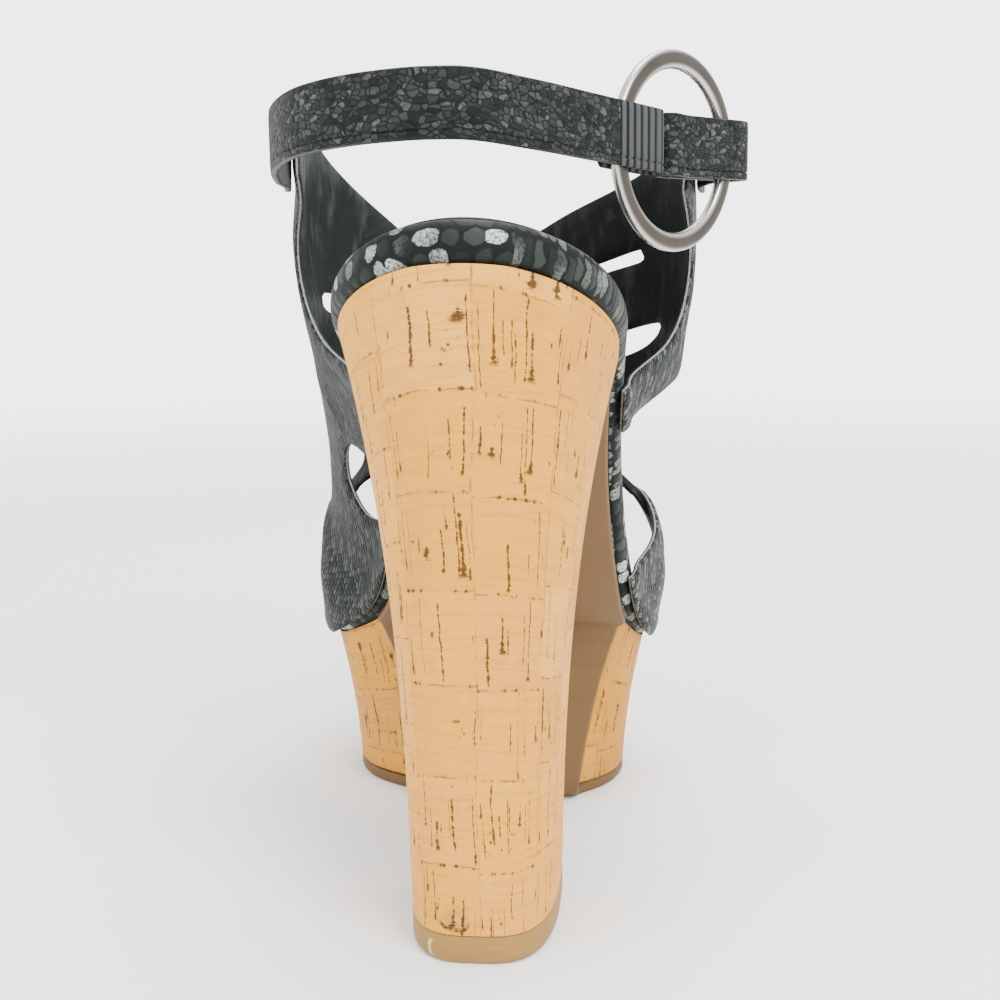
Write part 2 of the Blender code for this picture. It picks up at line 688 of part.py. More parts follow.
def upright_station(face, side, thickness):
    """Corners of an upright strap: its near face at a plan point, its far face to one side."""
    far = face + side * thickness
    z = strap_height(face[1])
    low, high = z - STRAP_WIDTH / 2, z + STRAP_WIDTH / 2
    return np.array([(*face, low), (*face, high), (*far, high), (*far, low)])


def ring_point(along, out):
    """Plan point beside the ring: along the strap's run forward, and out from the foot."""
    run = np.array([cos(RING_TURN), sin(RING_TURN)])
    face = np.array([sin(RING_TURN), -cos(RING_TURN)])
    return np.array(RING_PLACE) * BALL_WIDTH + along * run + out * face


def plan_curve(knots):
    """Points along a smooth curve through plan points, with the right-hand side at each."""
    knots = [Vector(knot) for knot in knots]
    path = []
    for i in range(len(knots) - 1):
        a = knots[max(i - 1, 0)]
        b, c = knots[i], knots[i + 1]
        d = knots[min(i + 2, len(knots) - 1)]
        for k in range(PLAN_STEPS):
            t = k / PLAN_STEPS
            ends = (2 * t**3 - 3 * t**2 + 1) * b + (3 * t**2 - 2 * t**3) * c
            path.append(ends + (t**3 - 2 * t**2 + t) * (c - a) / 2 + (t**3 - t**2) * (d - b) / 2)
    path.append(knots[-1])
    path = np.array([(p.x, p.y) for p in path])
    along = np.gradient(path, axis=0)
    along /= np.hypot(*along.T)[:, None]
    return path, np.stack([along[:, 1], -along[:, 0]], axis=-1)


def quarter_place(y, z, girth):
    """Distance and girth where the upper's outside has the given y and z, sought from girth."""
    s = UPPER_SPAN[0] * LENGTH
    for _ in range(8):
        tries = last_surface(np.array([s, s + 1, s]), np.array([girth, girth, girth + 0.01]), WALL + SEAT_GAP)
        here, further, higher = tries[:, 1:]
        slopes = np.stack([further - here, (higher - here) / 0.01], axis=1)
        s, girth = np.array([s, girth]) + np.linalg.solve(slopes, np.array([y, z]) - here)
    return s, girth


def quarter_stations(seat, girth, thickness):
    """Corners of an upright strap sewn on the outside of the upper, its inner face first."""
    stations = []
    for ahead, rise in seat:
        middle = strap_height(ahead) + rise
        ends = [quarter_place(ahead, middle + up * STRAP_WIDTH / 2, girth) for up in (-1, 1)]
        s, v = np.array(ends).T
        inner = last_surface(s, v, WALL + SEAT_GAP)
        outer = last_surface(s, v, WALL + SEAT_GAP + thickness)
        stations.append(np.array([inner[0], inner[1], outer[1], outer[0]]))
    return stations


def ankle_strap(finish):
    """From the inner quarter round the back of the heel to the elastic."""
    stations = quarter_stations(INNER_STRAP_SEAT, INNER_SEAT_GIRTH, STRAP_THICKNESS)
    out = RING_THICKNESS / 2 + LOOP_ROOM + LOOP_THICKNESS - STRAP_THICKNESS
    end = RING_RADIUS + LOOP_BACK
    knots = [np.array(spot) * BALL_WIDTH for spot in ANKLE_PLAN]
    path, side = plan_curve(knots + [ring_point(-end - STRAP_LEAD, out), ring_point(-end, out)])
    stations += [upright_station(p, q, STRAP_THICKNESS) for p, q in zip(path, side)]
    return lofted_solid("ankle_strap", stations, finish)


def elastic_gore(finish):
    """The elastic that folds round the back of the ring, its inner layer under the strap."""
    room = RING_THICKNESS / 2 + LOOP_ROOM
    under = room + LOOP_THICKNESS - STRAP_THICKNESS - GAP
    start = RING_RADIUS + LOOP_BACK - GAP
    bend = -LOOP_REACH - room
    path = [(-start, room), (bend, room)]
    for turn in np.radians((60, 30, 0, -30, -60)):
        path.append((bend + room * cos(turn), room * sin(turn)))
    path += [(bend, -room), (-start, -room), (-start - GORE_SLIP, under), (-start - GORE_TAIL, under)]
    points = np.array([ring_point(*step) for step in path])
    along = np.gradient(points, axis=0)
    along /= np.hypot(*along.T)[:, None]
    side = np.stack([along[:, 1], -along[:, 0]], axis=-1)
    stations = [upright_station(p, q, LOOP_THICKNESS) for p, q in zip(points, side)]
    return lofted_solid("elastic_gore", stations, finish)


def closing_strap(finish):
    """From the outer quarter through the ring, folded back outside itself."""
    seat = quarter_stations(OUTER_STRAP_SEAT, OUTER_SEAT_GIRTH, LOOP_THICKNESS)
    stations = [corners[[3, 2, 1, 0]] for corners in seat]
    room = RING_THICKNESS / 2 + LOOP_ROOM
    fold = LOOP_MEET - LOOP_REACH
    front = RING_RADIUS + LOOP_BACK
    knots = (
        stations[-1][:2, :2].mean(axis=0) + np.array(CLOSING_FIRST_STEP),
        np.array(CLOSING_BEND) * BALL_WIDTH,
        ring_point(front, -room),
        ring_point(front / 2, -room),
        ring_point(fold + room, -room),
    )
    path, side = plan_curve(knots)
    stations += [upright_station(p, q, LOOP_THICKNESS) for p, q in zip(path, side)]
    for turn in np.radians((60, 30, 0, -30, -60)):
        point = ring_point(fold + room - room * cos(turn), -room * sin(turn))
        outward = (point - ring_point(fold + room, 0.0)) / room
        stations.append(upright_station(point, outward, LOOP_THICKNESS))
    behind = np.concatenate([[0.0], np.cumsum(np.hypot(*np.diff(path, axis=0).T))])
    ring_front = behind[2 * PLAN_STEPS]
    close = np.clip((ring_front - behind) / LOOP_CLOSING, 0, 1)
    apart = GAP + (2 * room - GAP) * (1 - close**2 * (3 - 2 * close))
    for i in range(len(path) - 1, 1, -1):
        stations.append(upright_station(path[i] - side[i] * apart[i], -side[i], LOOP_THICKNESS))
    return lofted_solid("closing_strap", stations, finish)


def ring(finish):
    """The flat metal ring that joins the elastic and the closing strap."""
    sections = []
    for around in np.linspace(0, 2 * pi, RING_TURNS, endpoint=False):
        section = []
        for k in range(RING_SIDES):
            angle = (2 * k + 1) * pi / RING_SIDES
            across = np.sign(cos(angle)) * abs(cos(angle)) ** RING_SQUARE
            through = np.sign(sin(angle)) * abs(sin(angle)) ** RING_SQUARE
            radial = RING_RADIUS + RING_BAND / 2 * across
            x, y = ring_point(radial * cos(around), RING_THICKNESS / 2 * through)
            section.append((x, y, STRAP_HEIGHT - RING_DROP + radial * sin(around)))
        sections.append(np.array(section))
    points, faces, count = stack_rings(sections)
    base = len(points) - count
    for i in range(count):
        j = (i + 1) % count
        faces.append((base + i, base + j, j, i))
    return solid("ring", points, faces, finish, 50)


def build():
    clear_scene()
    snake = material("snake_leather", (0.055, 0.062, 0.060), 0.42)
    lining = material("lining_leather", (0.040, 0.043, 0.046), 0.60)
    cork = material("cork", (0.80, 0.58, 0.30), 0.55)
    elastic = material("elastic", (0.030, 0.032, 0.036), 0.75)
    metal = material("ring_metal", (0.62, 0.60, 0.57), 0.30, 1.0)
    tan = material("sole_leather", (0.42, 0.27, 0.15), 0.55)
    insole(lining)
    footbed(snake)
    platform(cork)
    outsole(tan)
    heel(cork)
    heel_top_lift(tan)
    upper(snake)
    ankle_strap(snake)
    elastic_gore(elastic)
    closing_strap(snake)
    ring(metal)


build()
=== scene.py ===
"""The looks of the platform sandal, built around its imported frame.

Shapes are worked out in millimetres in the shoe's own frame, as the part's source does:
toes along +Y, outer side +X, floor at Z = 0. piece() turns them into metres. Every piece has
a UV map in millimetres, so that scales, grain and cork keep their real size.
"""

import bmesh
import bpy
import numpy as np
from math import cos, floor, hypot, pi, radians, sin
from mathutils import Matrix, Vector
from mathutils.geometry import delaunay_2d_cdt

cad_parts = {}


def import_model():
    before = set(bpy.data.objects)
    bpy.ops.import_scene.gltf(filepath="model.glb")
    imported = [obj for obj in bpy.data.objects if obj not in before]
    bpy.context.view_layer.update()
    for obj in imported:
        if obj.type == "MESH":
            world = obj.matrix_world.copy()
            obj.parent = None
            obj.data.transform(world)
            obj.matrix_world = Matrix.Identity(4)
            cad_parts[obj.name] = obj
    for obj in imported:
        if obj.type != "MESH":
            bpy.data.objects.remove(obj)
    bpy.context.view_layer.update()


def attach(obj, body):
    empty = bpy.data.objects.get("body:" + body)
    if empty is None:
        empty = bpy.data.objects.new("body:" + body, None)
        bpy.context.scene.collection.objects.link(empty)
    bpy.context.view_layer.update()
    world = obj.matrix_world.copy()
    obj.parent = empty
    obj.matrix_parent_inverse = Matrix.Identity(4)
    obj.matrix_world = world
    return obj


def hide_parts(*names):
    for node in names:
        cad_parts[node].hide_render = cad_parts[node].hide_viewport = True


MM = 0.001
MERGE_WITHIN = 0.00001

# Footbed line, seen from the side
SEAT_HEIGHT = 154.0
SEAT_BACK = -30.0
SEAT_SLOPE = radians(23)
SEAT_LENGTH = 50.0
BALL_Y = 97.0
BALL_HEIGHT = 50.0
BALL_SLOPE = radians(9)
TOE_Y = 176.0
TOE_HEIGHT = 54.0
TOE_SLOPE = radians(7)
ARCH_PULL_SEAT = 1.0
ARCH_PULL_BALL = 0.85

# Widths and thicknesses
BALL_WIDTH = 92.0
FOOTBED_THICKNESS = 9.0
RIM_ROUND = 3.0
INSOLE_THICKNESS = 1.2
INSOLE_INSET = 4.2
INSOLE_BEVEL = 0.6
GAP = 0.3
FIT = 0.4
WALL = 2.0

# Platform, outsole and heel; steps are (share of the fall, share of the hollow) or (inset, height)
PLATFORM_INSET = 2.0
PLATFORM_UNDERCUT = 5.7
PLATFORM_BACK = 74.0
PLATFORM_TOE_TUCK = 7.0
PLATFORM_CORNER = 4.0
PLATFORM_HOLLOW = 5.0
PLATFORM_HOLLOW_STEPS = ((0.28, 1.0), (0.50, 0.9), (0.74, 0.4))
PLATFORM_TOP_STEP = (0.12, 0.5)
PLATFORM_CORNER_STEP = 0.3
PLATFORM_WAIST = 0.8
PLATFORM_BACK_PULL = (0.08, 0.20)
OUTSOLE_THICKNESS = 3.0
OUTSOLE_INSET = 3.2
TOE_SPRING = 7.0
TOE_SPRING_START = 122.0
HEEL_WIDTH = 33.0
HEEL_DEPTH = 38.0
HEEL_INSET = 1.8
HEEL_CORNER = 0.62
HEEL_FLARE = (0.20, 2.6)
HEEL_LEAN = (0.45, 2.2)
HEEL_BACK_STEP = 1.6
HEEL_BACK_ROUND = (8.9, 1.1, 0.02)
HEEL_BACK_COLUMNS = 9
TOP_LIFT_THICKNESS = 6.0
TOP_LIFT_STEPS = (
    (0.9, 0.0), (0.35, 0.15), (0.0, 0.7), (0.0, 3.0), (0.0, 5.6), (0.25, TOP_LIFT_THICKNESS),
)

# Ankle strap, elastic, ring and closing strap
STRAP_WIDTH = 13.0
STRAP_THICKNESS = 1.8
STRAP_HEIGHT = SEAT_HEIGHT + 0.158 * BALL_WIDTH
STRAP_BACK_RISE = 5.0
STRAP_LEAD = 9.0
RING_RADIUS = 19.0
RING_BAND = 4.0
RING_THICKNESS = 2.4
RING_DROP = 1.0
RING_TURN = radians(52)
LOOP_THICKNESS = 1.5
LOOP_ROOM = 0.35
LOOP_REACH = 7.0
LOOP_MEET = 2 * LOOP_THICKNESS + FIT
LOOP_BACK = 3.2
LOOP_CLOSING = 7.0
GORE_SLIP = 4.0
GORE_TAIL = 10.0
SEAT_GAP = 0.7
CLOSING_FIRST_STEP = (2.0, -2.0)

# Places seen from above, as shares of the ball width: the ring, the bend of the closing strap,
# and the ankle strap from the inner quarter to behind the ring
RING_PLACE = (0.446, 0.207)
CLOSING_BEND = (0.580, 0.461)
STRAP_BACK = -0.337
ANKLE_PLAN = (
    (-0.478, 0.217), (-0.440, 0.022), (-0.342, -0.174), (-0.185, -0.299), (0.0, STRAP_BACK),
    (0.130, -0.217),
)

# Where the straps are sewn on the quarters: distance ahead of the heel's middle, and how far
# the strap's middle line lies above its usual height
INNER_STRAP_SEAT = ((53.0, -0.6), (47.0, -0.3), (41.0, 0.0), (35.5, 0.0))
OUTER_STRAP_SEAT = ((69.0, -2.6), (62.5, -1.5), (56.0, -0.6))
INNER_SEAT_GIRTH = 0.79
OUTER_SEAT_GIRTH = 0.21

# Shares of the footbed's length: rounding of heel and toe, the platform's start and the rounding
# of its back, the heel's end, and the stretch that the upper spans
HEEL_ROUND = 0.20
TOE_ROUND = 0.66
PLATFORM_START = 0.610
PLATFORM_ROUND = 0.09
HEEL_END = 0.229
UPPER_SPAN = (0.18, 0.80)

# Girth runs from 0 at the outer feather edge over the instep to 1 at the inner one. V_RIM is where
# the rim ends, and GIRTH_SCALE its length in the flat pattern.
V_RIM = 0.06
FEATHER_TURN = radians(-54)
GIRTH_SCALE = 200.0
SWELL_START = 0.12
LAST_SHOULDER = 0.8

# Squareness of heel and toe seen from above, and where an outline cut straight across starts
HEEL_SQUARE = 2.05
TOE_SQUARE = 2.3
CUT_START_TURN = 0.18 * pi

# Steps for slopes on the last, and for the search of a place on it
ALONG_PROBE = 0.5
GIRTH_PROBE = 0.002
SEEK_PROBE = 0.01
SEEK_ROUNDS = 8

# Plan of the footbed: share of length, centre and half width as shares of the ball width
PLAN = (
    (0.00, 0.000, 0.345),
    (0.14, 0.000, 0.345),
    (0.26, 0.000, 0.335),
    (0.40, 0.013, 0.313),
    (0.52, 0.008, 0.336),
    (0.60, -0.020, 0.390),
    (0.66, -0.068, 0.473),
    (0.74, -0.092, 0.505),
    (0.86, -0.118, 0.450),
    (1.00, -0.130, 0.400),
)

# Sections of the last: share, height of the ridge, outer and inner swell, offset of the ridge
LAST = (
    (0.10, 1.15, 0.190, 0.180, 0.00),
    (0.22, 1.08, 0.200, 0.215, 0.00),
    (0.32, 0.98, 0.245, 0.320, -0.01),
    (0.42, 0.82, 0.205, 0.300, -0.02),
    (0.50, 0.70, 0.140, 0.265, -0.03),
    (0.60, 0.56, 0.100, 0.185, -0.06),
    (0.70, 0.46, 0.070, 0.035, -0.10),
    (0.80, 0.38, 0.060, 0.020, -0.14),
    (0.90, 0.30, 0.040, 0.040, -0.16),
    (1.00, 0.20, 0.020, 0.020, -0.15),
)

# Edges of the upper: share of the footbed's length and girth position
OUTER_REAR_EDGE = (
    (0.287, 0.000), (0.295, 0.050), (0.318, 0.092), (0.334, 0.132), (0.330, 0.170),
    (0.300, 0.192), (0.265, 0.186), (0.236, 0.176),
)
THROAT_EDGE = (
    (0.232, 0.228), (0.265, 0.272), (0.300, 0.328), (0.333, 0.390), (0.360, 0.450),
    (0.385, 0.500), (0.398, 0.535), (0.385, 0.570), (0.352, 0.610), (0.313, 0.658),
    (0.280, 0.700), (0.243, 0.742), (0.214, 0.774),
)
INNER_REAR_EDGE = (
    (0.216, 0.826), (0.240, 0.823), (0.270, 0.810), (0.300, 0.804), (0.325, 0.828),
    (0.332, 0.866), (0.315, 0.910), (0.290, 0.950), (0.280, 1.000),
)
TOE_EDGE = (
    (0.775, 1.000), (0.765, 0.940), (0.740, 0.860), (0.705, 0.750), (0.672, 0.620),
    (0.655, 0.510), (0.668, 0.400), (0.695, 0.270), (0.728, 0.150), (0.748, 0.060),
    (0.752, 0.000),
)
OUTER_WAIST_EDGE = (
    (0.545, 0.000), (0.552, 0.060), (0.580, 0.130), (0.614, 0.200), (0.638, 0.270),
    (0.638, 0.330), (0.608, 0.368), (0.560, 0.366), (0.510, 0.332), (0.460, 0.270),
    (0.415, 0.200), (0.378, 0.125), (0.353, 0.055), (0.345, 0.000),
)
INNER_DIAMOND = (
    (0.430, 0.885), (0.460, 0.862), (0.496, 0.862), (0.512, 0.900), (0.484, 0.935),
    (0.446, 0.952), (0.426, 0.925),
)
INNER_WINDOW = (
    (0.500, 0.722), (0.532, 0.692), (0.572, 0.674), (0.614, 0.674), (0.638, 0.700),
    (0.640, 0.742), (0.616, 0.764), (0.575, 0.764), (0.532, 0.750),
)
OUTER_SLIT_HIGH = (
    (0.368, 0.354), (0.387, 0.400), (0.406, 0.446), (0.414, 0.449), (0.415, 0.440),
    (0.397, 0.396), (0.379, 0.352), (0.372, 0.347),
)
OUTER_SLIT_LOW = (
    (0.412, 0.296), (0.430, 0.338), (0.455, 0.384), (0.480, 0.412), (0.490, 0.402),
    (0.472, 0.360), (0.446, 0.318), (0.422, 0.294),
)
INNER_SLIT = (
    (0.378, 0.715), (0.398, 0.672), (0.424, 0.628), (0.438, 0.618), (0.441, 0.630),
    (0.420, 0.675), (0.394, 0.717), (0.383, 0.725),
)
CENTRE_GAP = (
    (0.470, 0.505), (0.490, 0.478), (0.515, 0.463), (0.530, 0.480), (0.538, 0.510),
    (0.530, 0.545), (0.510, 0.560), (0.488, 0.540),
)

# Creases of the upper: a line from one pattern place (share, girth) to another, its half width
# and its depth in millimetres; a negative depth is a ridge
CREASES = (
    (0.215, 0.805, 0.330, 0.735, 4.0, 0.90),
    (0.235, 0.780, 0.345, 0.700, 3.0, -0.50),
    (0.300, 0.790, 0.400, 0.740, 5.0, 1.00),
    (0.320, 0.760, 0.430, 0.690, 4.0, -0.50),
    (0.335, 0.900, 0.420, 0.850, 4.5, 0.90),
    (0.345, 0.870, 0.425, 0.810, 3.5, -0.60),
    (0.250, 0.200, 0.360, 0.235, 4.0, 0.45),
    (0.300, 0.260, 0.400, 0.300, 4.5, -0.35),
    (0.345, 0.180, 0.420, 0.245, 4.0, 0.40),
    (0.520, 0.620, 0.600, 0.520, 5.0, 0.40),
    (0.560, 0.420, 0.640, 0.500, 5.0, 0.35),
    (0.600, 0.880, 0.700, 0.800, 6.0, 0.40),
    (0.600, 0.100, 0.700, 0.180, 5.0, 0.35),
)

# Where the floor starts to fade and where it ends, in metres from the middle
FLOOR_FADE = (0.45, 1.3)

# How finely the pieces are drawn
LINE_STEPS = (40, 80, 60)
PLAN_STEPS = 5
HEEL_POINTS = 81
HEEL_LEVELS = 48
PLATFORM_POINTS = 90
RING_TURNS = 160
RING_POINTS = 20
FOOTBED_POINTS = 150
RIM_TURNS = 25
INSOLE_POINTS = 110
UPPER_STEP = 1.3
UPPER_GRID = 1.8
SKIN_ROWS = 41
SKIN_COLUMNS = 121

# Edges of the upper: bulge of the cut edge, the shares of the wall where lining and cut edge end,
# how far creases fade out and how far the edges are softened
EDGE_BULGE = 0.25
LINING_SHARE = 0.34
CUT_SHARE = 0.56
CREASE_FADE = 6.0
EDGE_SOFT = (2.2, 0.35)
DEEPEST, HIGHEST = 1.1, 0.45

# Small forms: corners of the outsole, rounding of ring and straps, the straps' face with its
# groove as (share of width, depth), their back, their sewn ends, and the elastic's ribs
OUTSOLE_SOFT = 0.7
RING_SQUARE = 0.7
RING_GIRTH = 11.6
EDGE_TURNS = np.radians((-60, -25, 25, 60))
EDGE_ROUND = 0.6
FACE_SHARES = ((0.115, 0.0), (0.14, 0.3), (0.165, 0.0), (0.34, 0.0), (0.5, 0.0), (0.66, 0.0), (0.86, 0.0))
BACK_SHARES = (0.86, 0.5, 0.14)
STRAP_SIDES = [1] * 3 + [0] * 8 + [1] * 3 + [2] * 4
ANKLE_FINE, LOOP_FINE, CLOSING_FINE = 4, 12, 3
SEWN_END = (0.58, 0.84, 0.95)
FOLD_TURNS = np.radians((60, 30, 0, -30, -60))
RIB_PITCH = 2.4
RIB_DEPTH = 0.4
RIB_ROUND = 0.7
TAIL_TUCK = 0.28
WEFT_PITCH = 0.55
WARP_PITCH = 0.45

# Long scales on the rim, half widths of the cork's seams and joints, and where the marks on heel
# and top lift are: sideways, and along V
LONG_PLATE = (2.5, 6.6, 3.2, (0.0, 0.35))
CORK_SEAMS = (0.25, 0.30)
CORK_JOINT = (0.55, 0.2)
STAIN = (-4.5, 3.4)
SCUFF = (-9.5, 3.2)

# Light: strength of the surround on the shoe and in the picture, and lamps as name, place, size
# and power, all aimed at one spot
SURROUND = (1.9, 4.2)
LAMPS = (
    ("key", (0.70, -0.80, 0.95), 0.7, 24.0),
    ("fill", (-0.85, -0.70, 0.60), 0.8, 9.0),
    ("top", (0.1, 0.35, 1.2), 0.9, 16.0),
)
LAMP_AIM = (0.0, 0.05, 0.09)

# The photograph's camera in the shoe's frame, and the part of its picture that holds the shoe
CAMERA_AT = (31.0, -296.8, 146.9)
CAMERA_YAW = radians(-14.6)
CAMERA_PITCH = radians(11.9)
CAMERA_ROLL = radians(-2.7)
PHOTO_FOCAL = 1.6639
AIM_RIGHT = 0.272
AIM_UP = 0.070
VIEW_WIDTH = 1.16
SENSOR = 36.0


def cubic(a, pull_a, b, pull_b, t):
    """The point at t on the way from a to b, with the given pulls at both ends."""
    ends = (2 * t**3 - 3 * t**2 + 1) * a + (3 * t**2 - 2 * t**3) * b
    return ends + (t**3 - 2 * t**2 + t) * pull_a + (t**3 - t**2) * pull_b


def chain(knots, pieces, closed=False):
    """Points on a smooth curve through knots, in pieces(b, c) steps from each to the next."""
    count = len(knots)
    points = []
    for i in range(count if closed else count - 1):
        b, c = knots[i], knots[(i + 1) % count]
        a = knots[i - 1] if closed or i > 0 else b
        d = knots[(i + 2) % count] if closed or i + 2 < count else c
        steps = pieces(b, c)
        points += [cubic(b, (c - a) / 2, c, (d - b) / 2, k / steps) for k in range(steps)]
    return points if closed else points + [knots[-1]]


def travelled(points):
    """How far along its path each point lies."""
    return np.concatenate([[0.0], np.cumsum(np.linalg.norm(np.diff(points, axis=0), axis=-1))])


def right_of(path):
    """Unit vectors to the right of a plan path, at each of its points."""
    along = np.gradient(path, axis=0)
    along /= np.hypot(*along.T)[:, None]
    return np.stack([along[:, 1], -along[:, 0]], axis=-1)


def widths(rows, share):
    """Each column of a table at the given share, on smooth curves, times the ball width."""
    xs, *columns = np.array(rows).T
    share = np.asarray(share, float)
    i = np.clip(np.searchsorted(xs, share) - 1, 0, len(xs) - 2)
    h = xs[i + 1] - xs[i]
    t = np.clip((share - xs[i]) / h, 0, 1)
    slopes = [np.gradient(ys, xs) for ys in columns]
    return [
        cubic(ys[i], h * slope[i], ys[i + 1], h * slope[i + 1], t) * BALL_WIDTH
        for ys, slope in zip(columns, slopes)
    ]


def footbed_line():
    """The top of the footbed: a flat seat, the arch down to the ball, and the toe."""
    back = np.array([SEAT_BACK, SEAT_HEIGHT])
    seat = np.array([cos(SEAT_SLOPE), -sin(SEAT_SLOPE)])
    breast = back + SEAT_LENGTH * seat
    ball = np.array([BALL_Y, BALL_HEIGHT])
    tread = np.array([cos(BALL_SLOPE), -sin(BALL_SLOPE)])
    toe = np.array([TOE_Y, TOE_HEIGHT])
    lift = np.array([cos(TOE_SLOPE), sin(TOE_SLOPE)])
    span = hypot(*(ball - breast))
    fore = hypot(*(toe - ball))
    t = np.linspace(0, 1, LINE_STEPS[1])[:, None]
    arch = cubic(breast, seat * span * ARCH_PULL_SEAT, ball, tread * span * ARCH_PULL_BALL, t)
    t = np.linspace(0, 1, LINE_STEPS[2])[:, None]
    front = cubic(ball, tread * fore, toe, lift * fore, t)
    return np.vstack([np.linspace(back, breast, LINE_STEPS[0])[:-1], arch[:-1], front])


LINE = footbed_line()
LINE_AT = np.concatenate([[0.0], np.cumsum(np.hypot(*np.diff(LINE, axis=0).T))])
LENGTH = float(LINE_AT[-1])
LINE_TURN = np.gradient(LINE, LINE_AT, axis=0)
LINE_TURN /= np.hypot(*LINE_TURN.T)[:, None]


def place(x, s, n):
    """Points at sideways x, distance s along the footbed line and height n square to it."""
    x, s, n = np.broadcast_arrays(*(np.asarray(value, float) for value in (x, s, n)))
    y, z, along_y, along_z = (np.interp(s, LINE_AT, row) for row in (*LINE.T, *LINE_TURN.T))
    return np.stack([x, y - n * along_z, z + n * along_y], axis=-1)


def plan(s):
    """Centre and half width of the footbed at the distance s, closed round at both ends."""
    share = np.clip(np.asarray(s, float) / LENGTH, 0, 1)
    centre, half = widths(PLAN, share)
    back = np.clip(1 - share / HEEL_ROUND, 0, 1)
    front = np.clip((share - TOE_ROUND) / (1 - TOE_ROUND), 0, 1)
    heel_cap = (1 - back**HEEL_SQUARE) ** (1 / HEEL_SQUARE)
    toe_cap = (1 - front**TOE_SQUARE) ** (1 / TOE_SQUARE)
    return centre, half * heel_cap * toe_cap


def outline(inset, count, start=0.0):
    """Closed plan outline as rows of (x, s): out along the outer side, back along the inner.

    An outline that starts at the very back has a single point there, as it has at the toe.
    One that starts further on is cut straight across, and its inset leaves that cut in place.
    """
    turn = (1 - np.cos(np.linspace(CUT_START_TURN if start else 0, pi, count))) / 2
    turn = (turn - turn[0]) / (turn[-1] - turn[0])
    s = (start + (1 - start) * turn) * LENGTH
    centre, half = plan(s)
    outer = np.stack([centre + half, s], axis=-1)
    inner = np.stack([centre - half, s], axis=-1)[::-1]
    loop = np.vstack([outer, inner[1:] if start else inner[1:-1]])
    along = np.roll(loop, -1, axis=0) - np.roll(loop, 1, axis=0)
    if start:
        along[0] = (0.0, 1.0)
        along[-1] = (0.0, -1.0)
    along /= np.hypot(*along.T)[:, None]
    inward = np.stack([-along[:, 1], along[:, 0]], axis=-1)
    return loop + inset * inward


def last_surface(s, v, away=0.0):
    """Points of the last at distance s and girth v, moved away from it by the given amount."""
    s, v = np.broadcast_arrays(np.asarray(s, float), np.asarray(v, float))

    def bare(s, v):
        centre, half = plan(s)
        ridge, outer, inner, ridge_x = widths(LAST, s / LENGTH)
        swell = np.where(v < 0.5, outer, inner)
        side = np.where(v < 0.5, 1.0, -1.0)
        up = np.where(v < 0.5, v, 1 - v)
        thick = FOOTBED_THICKNESS / 2
        turn = FEATHER_TURN * (1 - np.clip(up / V_RIM, -0.2, 1))
        rim_x = half - RIM_ROUND + (RIM_ROUND + FIT) * np.cos(turn)
        rim_n = -thick + (thick + FIT) * np.sin(turn)
        climb = np.clip((up - V_RIM) / (0.5 - V_RIM), 0, 1) * pi / 2
        bump = np.sin(2 * climb) * np.tanh(climb / SWELL_START)
        body_x = (half + FIT) * np.cos(climb).clip(0) ** LAST_SHOULDER + swell * bump
        body_x = body_x + (ridge_x - centre) * side * np.sin(climb) ** 2
        body_n = -thick + (ridge + thick) * np.sin(climb)
        x, n = np.where(up < V_RIM, (rim_x, rim_n), (body_x, body_n))
        return place(centre + side * x, s, n)

    point = bare(s, v)
    ahead = bare(s + ALONG_PROBE, v) - bare(s - ALONG_PROBE, v)
    across = bare(s, np.minimum(v + GIRTH_PROBE, 1.0)) - bare(s, np.maximum(v - GIRTH_PROBE, 0.0))
    normal = np.cross(across, ahead)
    normal /= np.linalg.norm(normal, axis=-1)[..., None]
    return point - np.asarray(away)[..., None] * normal


def curve_through(rows, step, closed=False):
    """Points every step or so along a smooth curve through table rows, in pattern units."""
    knots = [Vector((share * LENGTH, girth * GIRTH_SCALE)) for share, girth in rows]
    points = chain(knots, lambda b, c: max(1, round((c - b).length / step)), closed)
    return [(p.x, min(max(p.y, 0.0), GIRTH_SCALE)) for p in points]


def feather_run(start_share, end_share, girth, step):
    """Points along a feather edge, without its two ends."""
    count = max(2, round(abs(end_share - start_share) * LENGTH / step))
    shares = np.linspace(start_share, end_share, count + 1)[1:-1]
    return [(share * LENGTH, girth * GIRTH_SCALE) for share in shares]


def upper_pattern(step):
    """The upper laid out flat: its outline and its openings."""
    rim = curve_through(OUTER_REAR_EDGE, step)
    rim += curve_through(THROAT_EDGE, step)
    rim += curve_through(INNER_REAR_EDGE, step)
    rim += feather_run(INNER_REAR_EDGE[-1][0], TOE_EDGE[0][0], 1.0, step)
    rim += curve_through(TOE_EDGE, step)
    rim += feather_run(TOE_EDGE[-1][0], OUTER_WAIST_EDGE[0][0], 0.0, step)
    rim += curve_through(OUTER_WAIST_EDGE, step)
    rim += feather_run(OUTER_WAIST_EDGE[-1][0], OUTER_REAR_EDGE[0][0], 0.0, step)
    holes = (INNER_DIAMOND, INNER_WINDOW, OUTER_SLIT_HIGH, OUTER_SLIT_LOW, INNER_SLIT, CENTRE_GAP)
    return rim, [curve_through(rows, step, closed=True) for rows in holes]


def inside(points, loop):
    """Which of the points lie inside the closed loop."""
    x, y = points[:, 0], points[:, 1]
    hit = np.zeros(len(points), bool)
    for (x1, y1), (x2, y2) in zip(loop, loop[1:] + loop[:1]):
        crosses = (y1 > y) != (y2 > y)
        if y1 != y2:
            hit ^= crosses & (x < (x2 - x1) * (y - y1) / (y2 - y1) + x1)
    return hit


def on_leather(points, rim, holes):
    """Which of the points lie inside the rim and in none of the holes."""
    on = inside(points, rim)
    for hole in holes:
        on &= ~inside(points, hole)
    return on


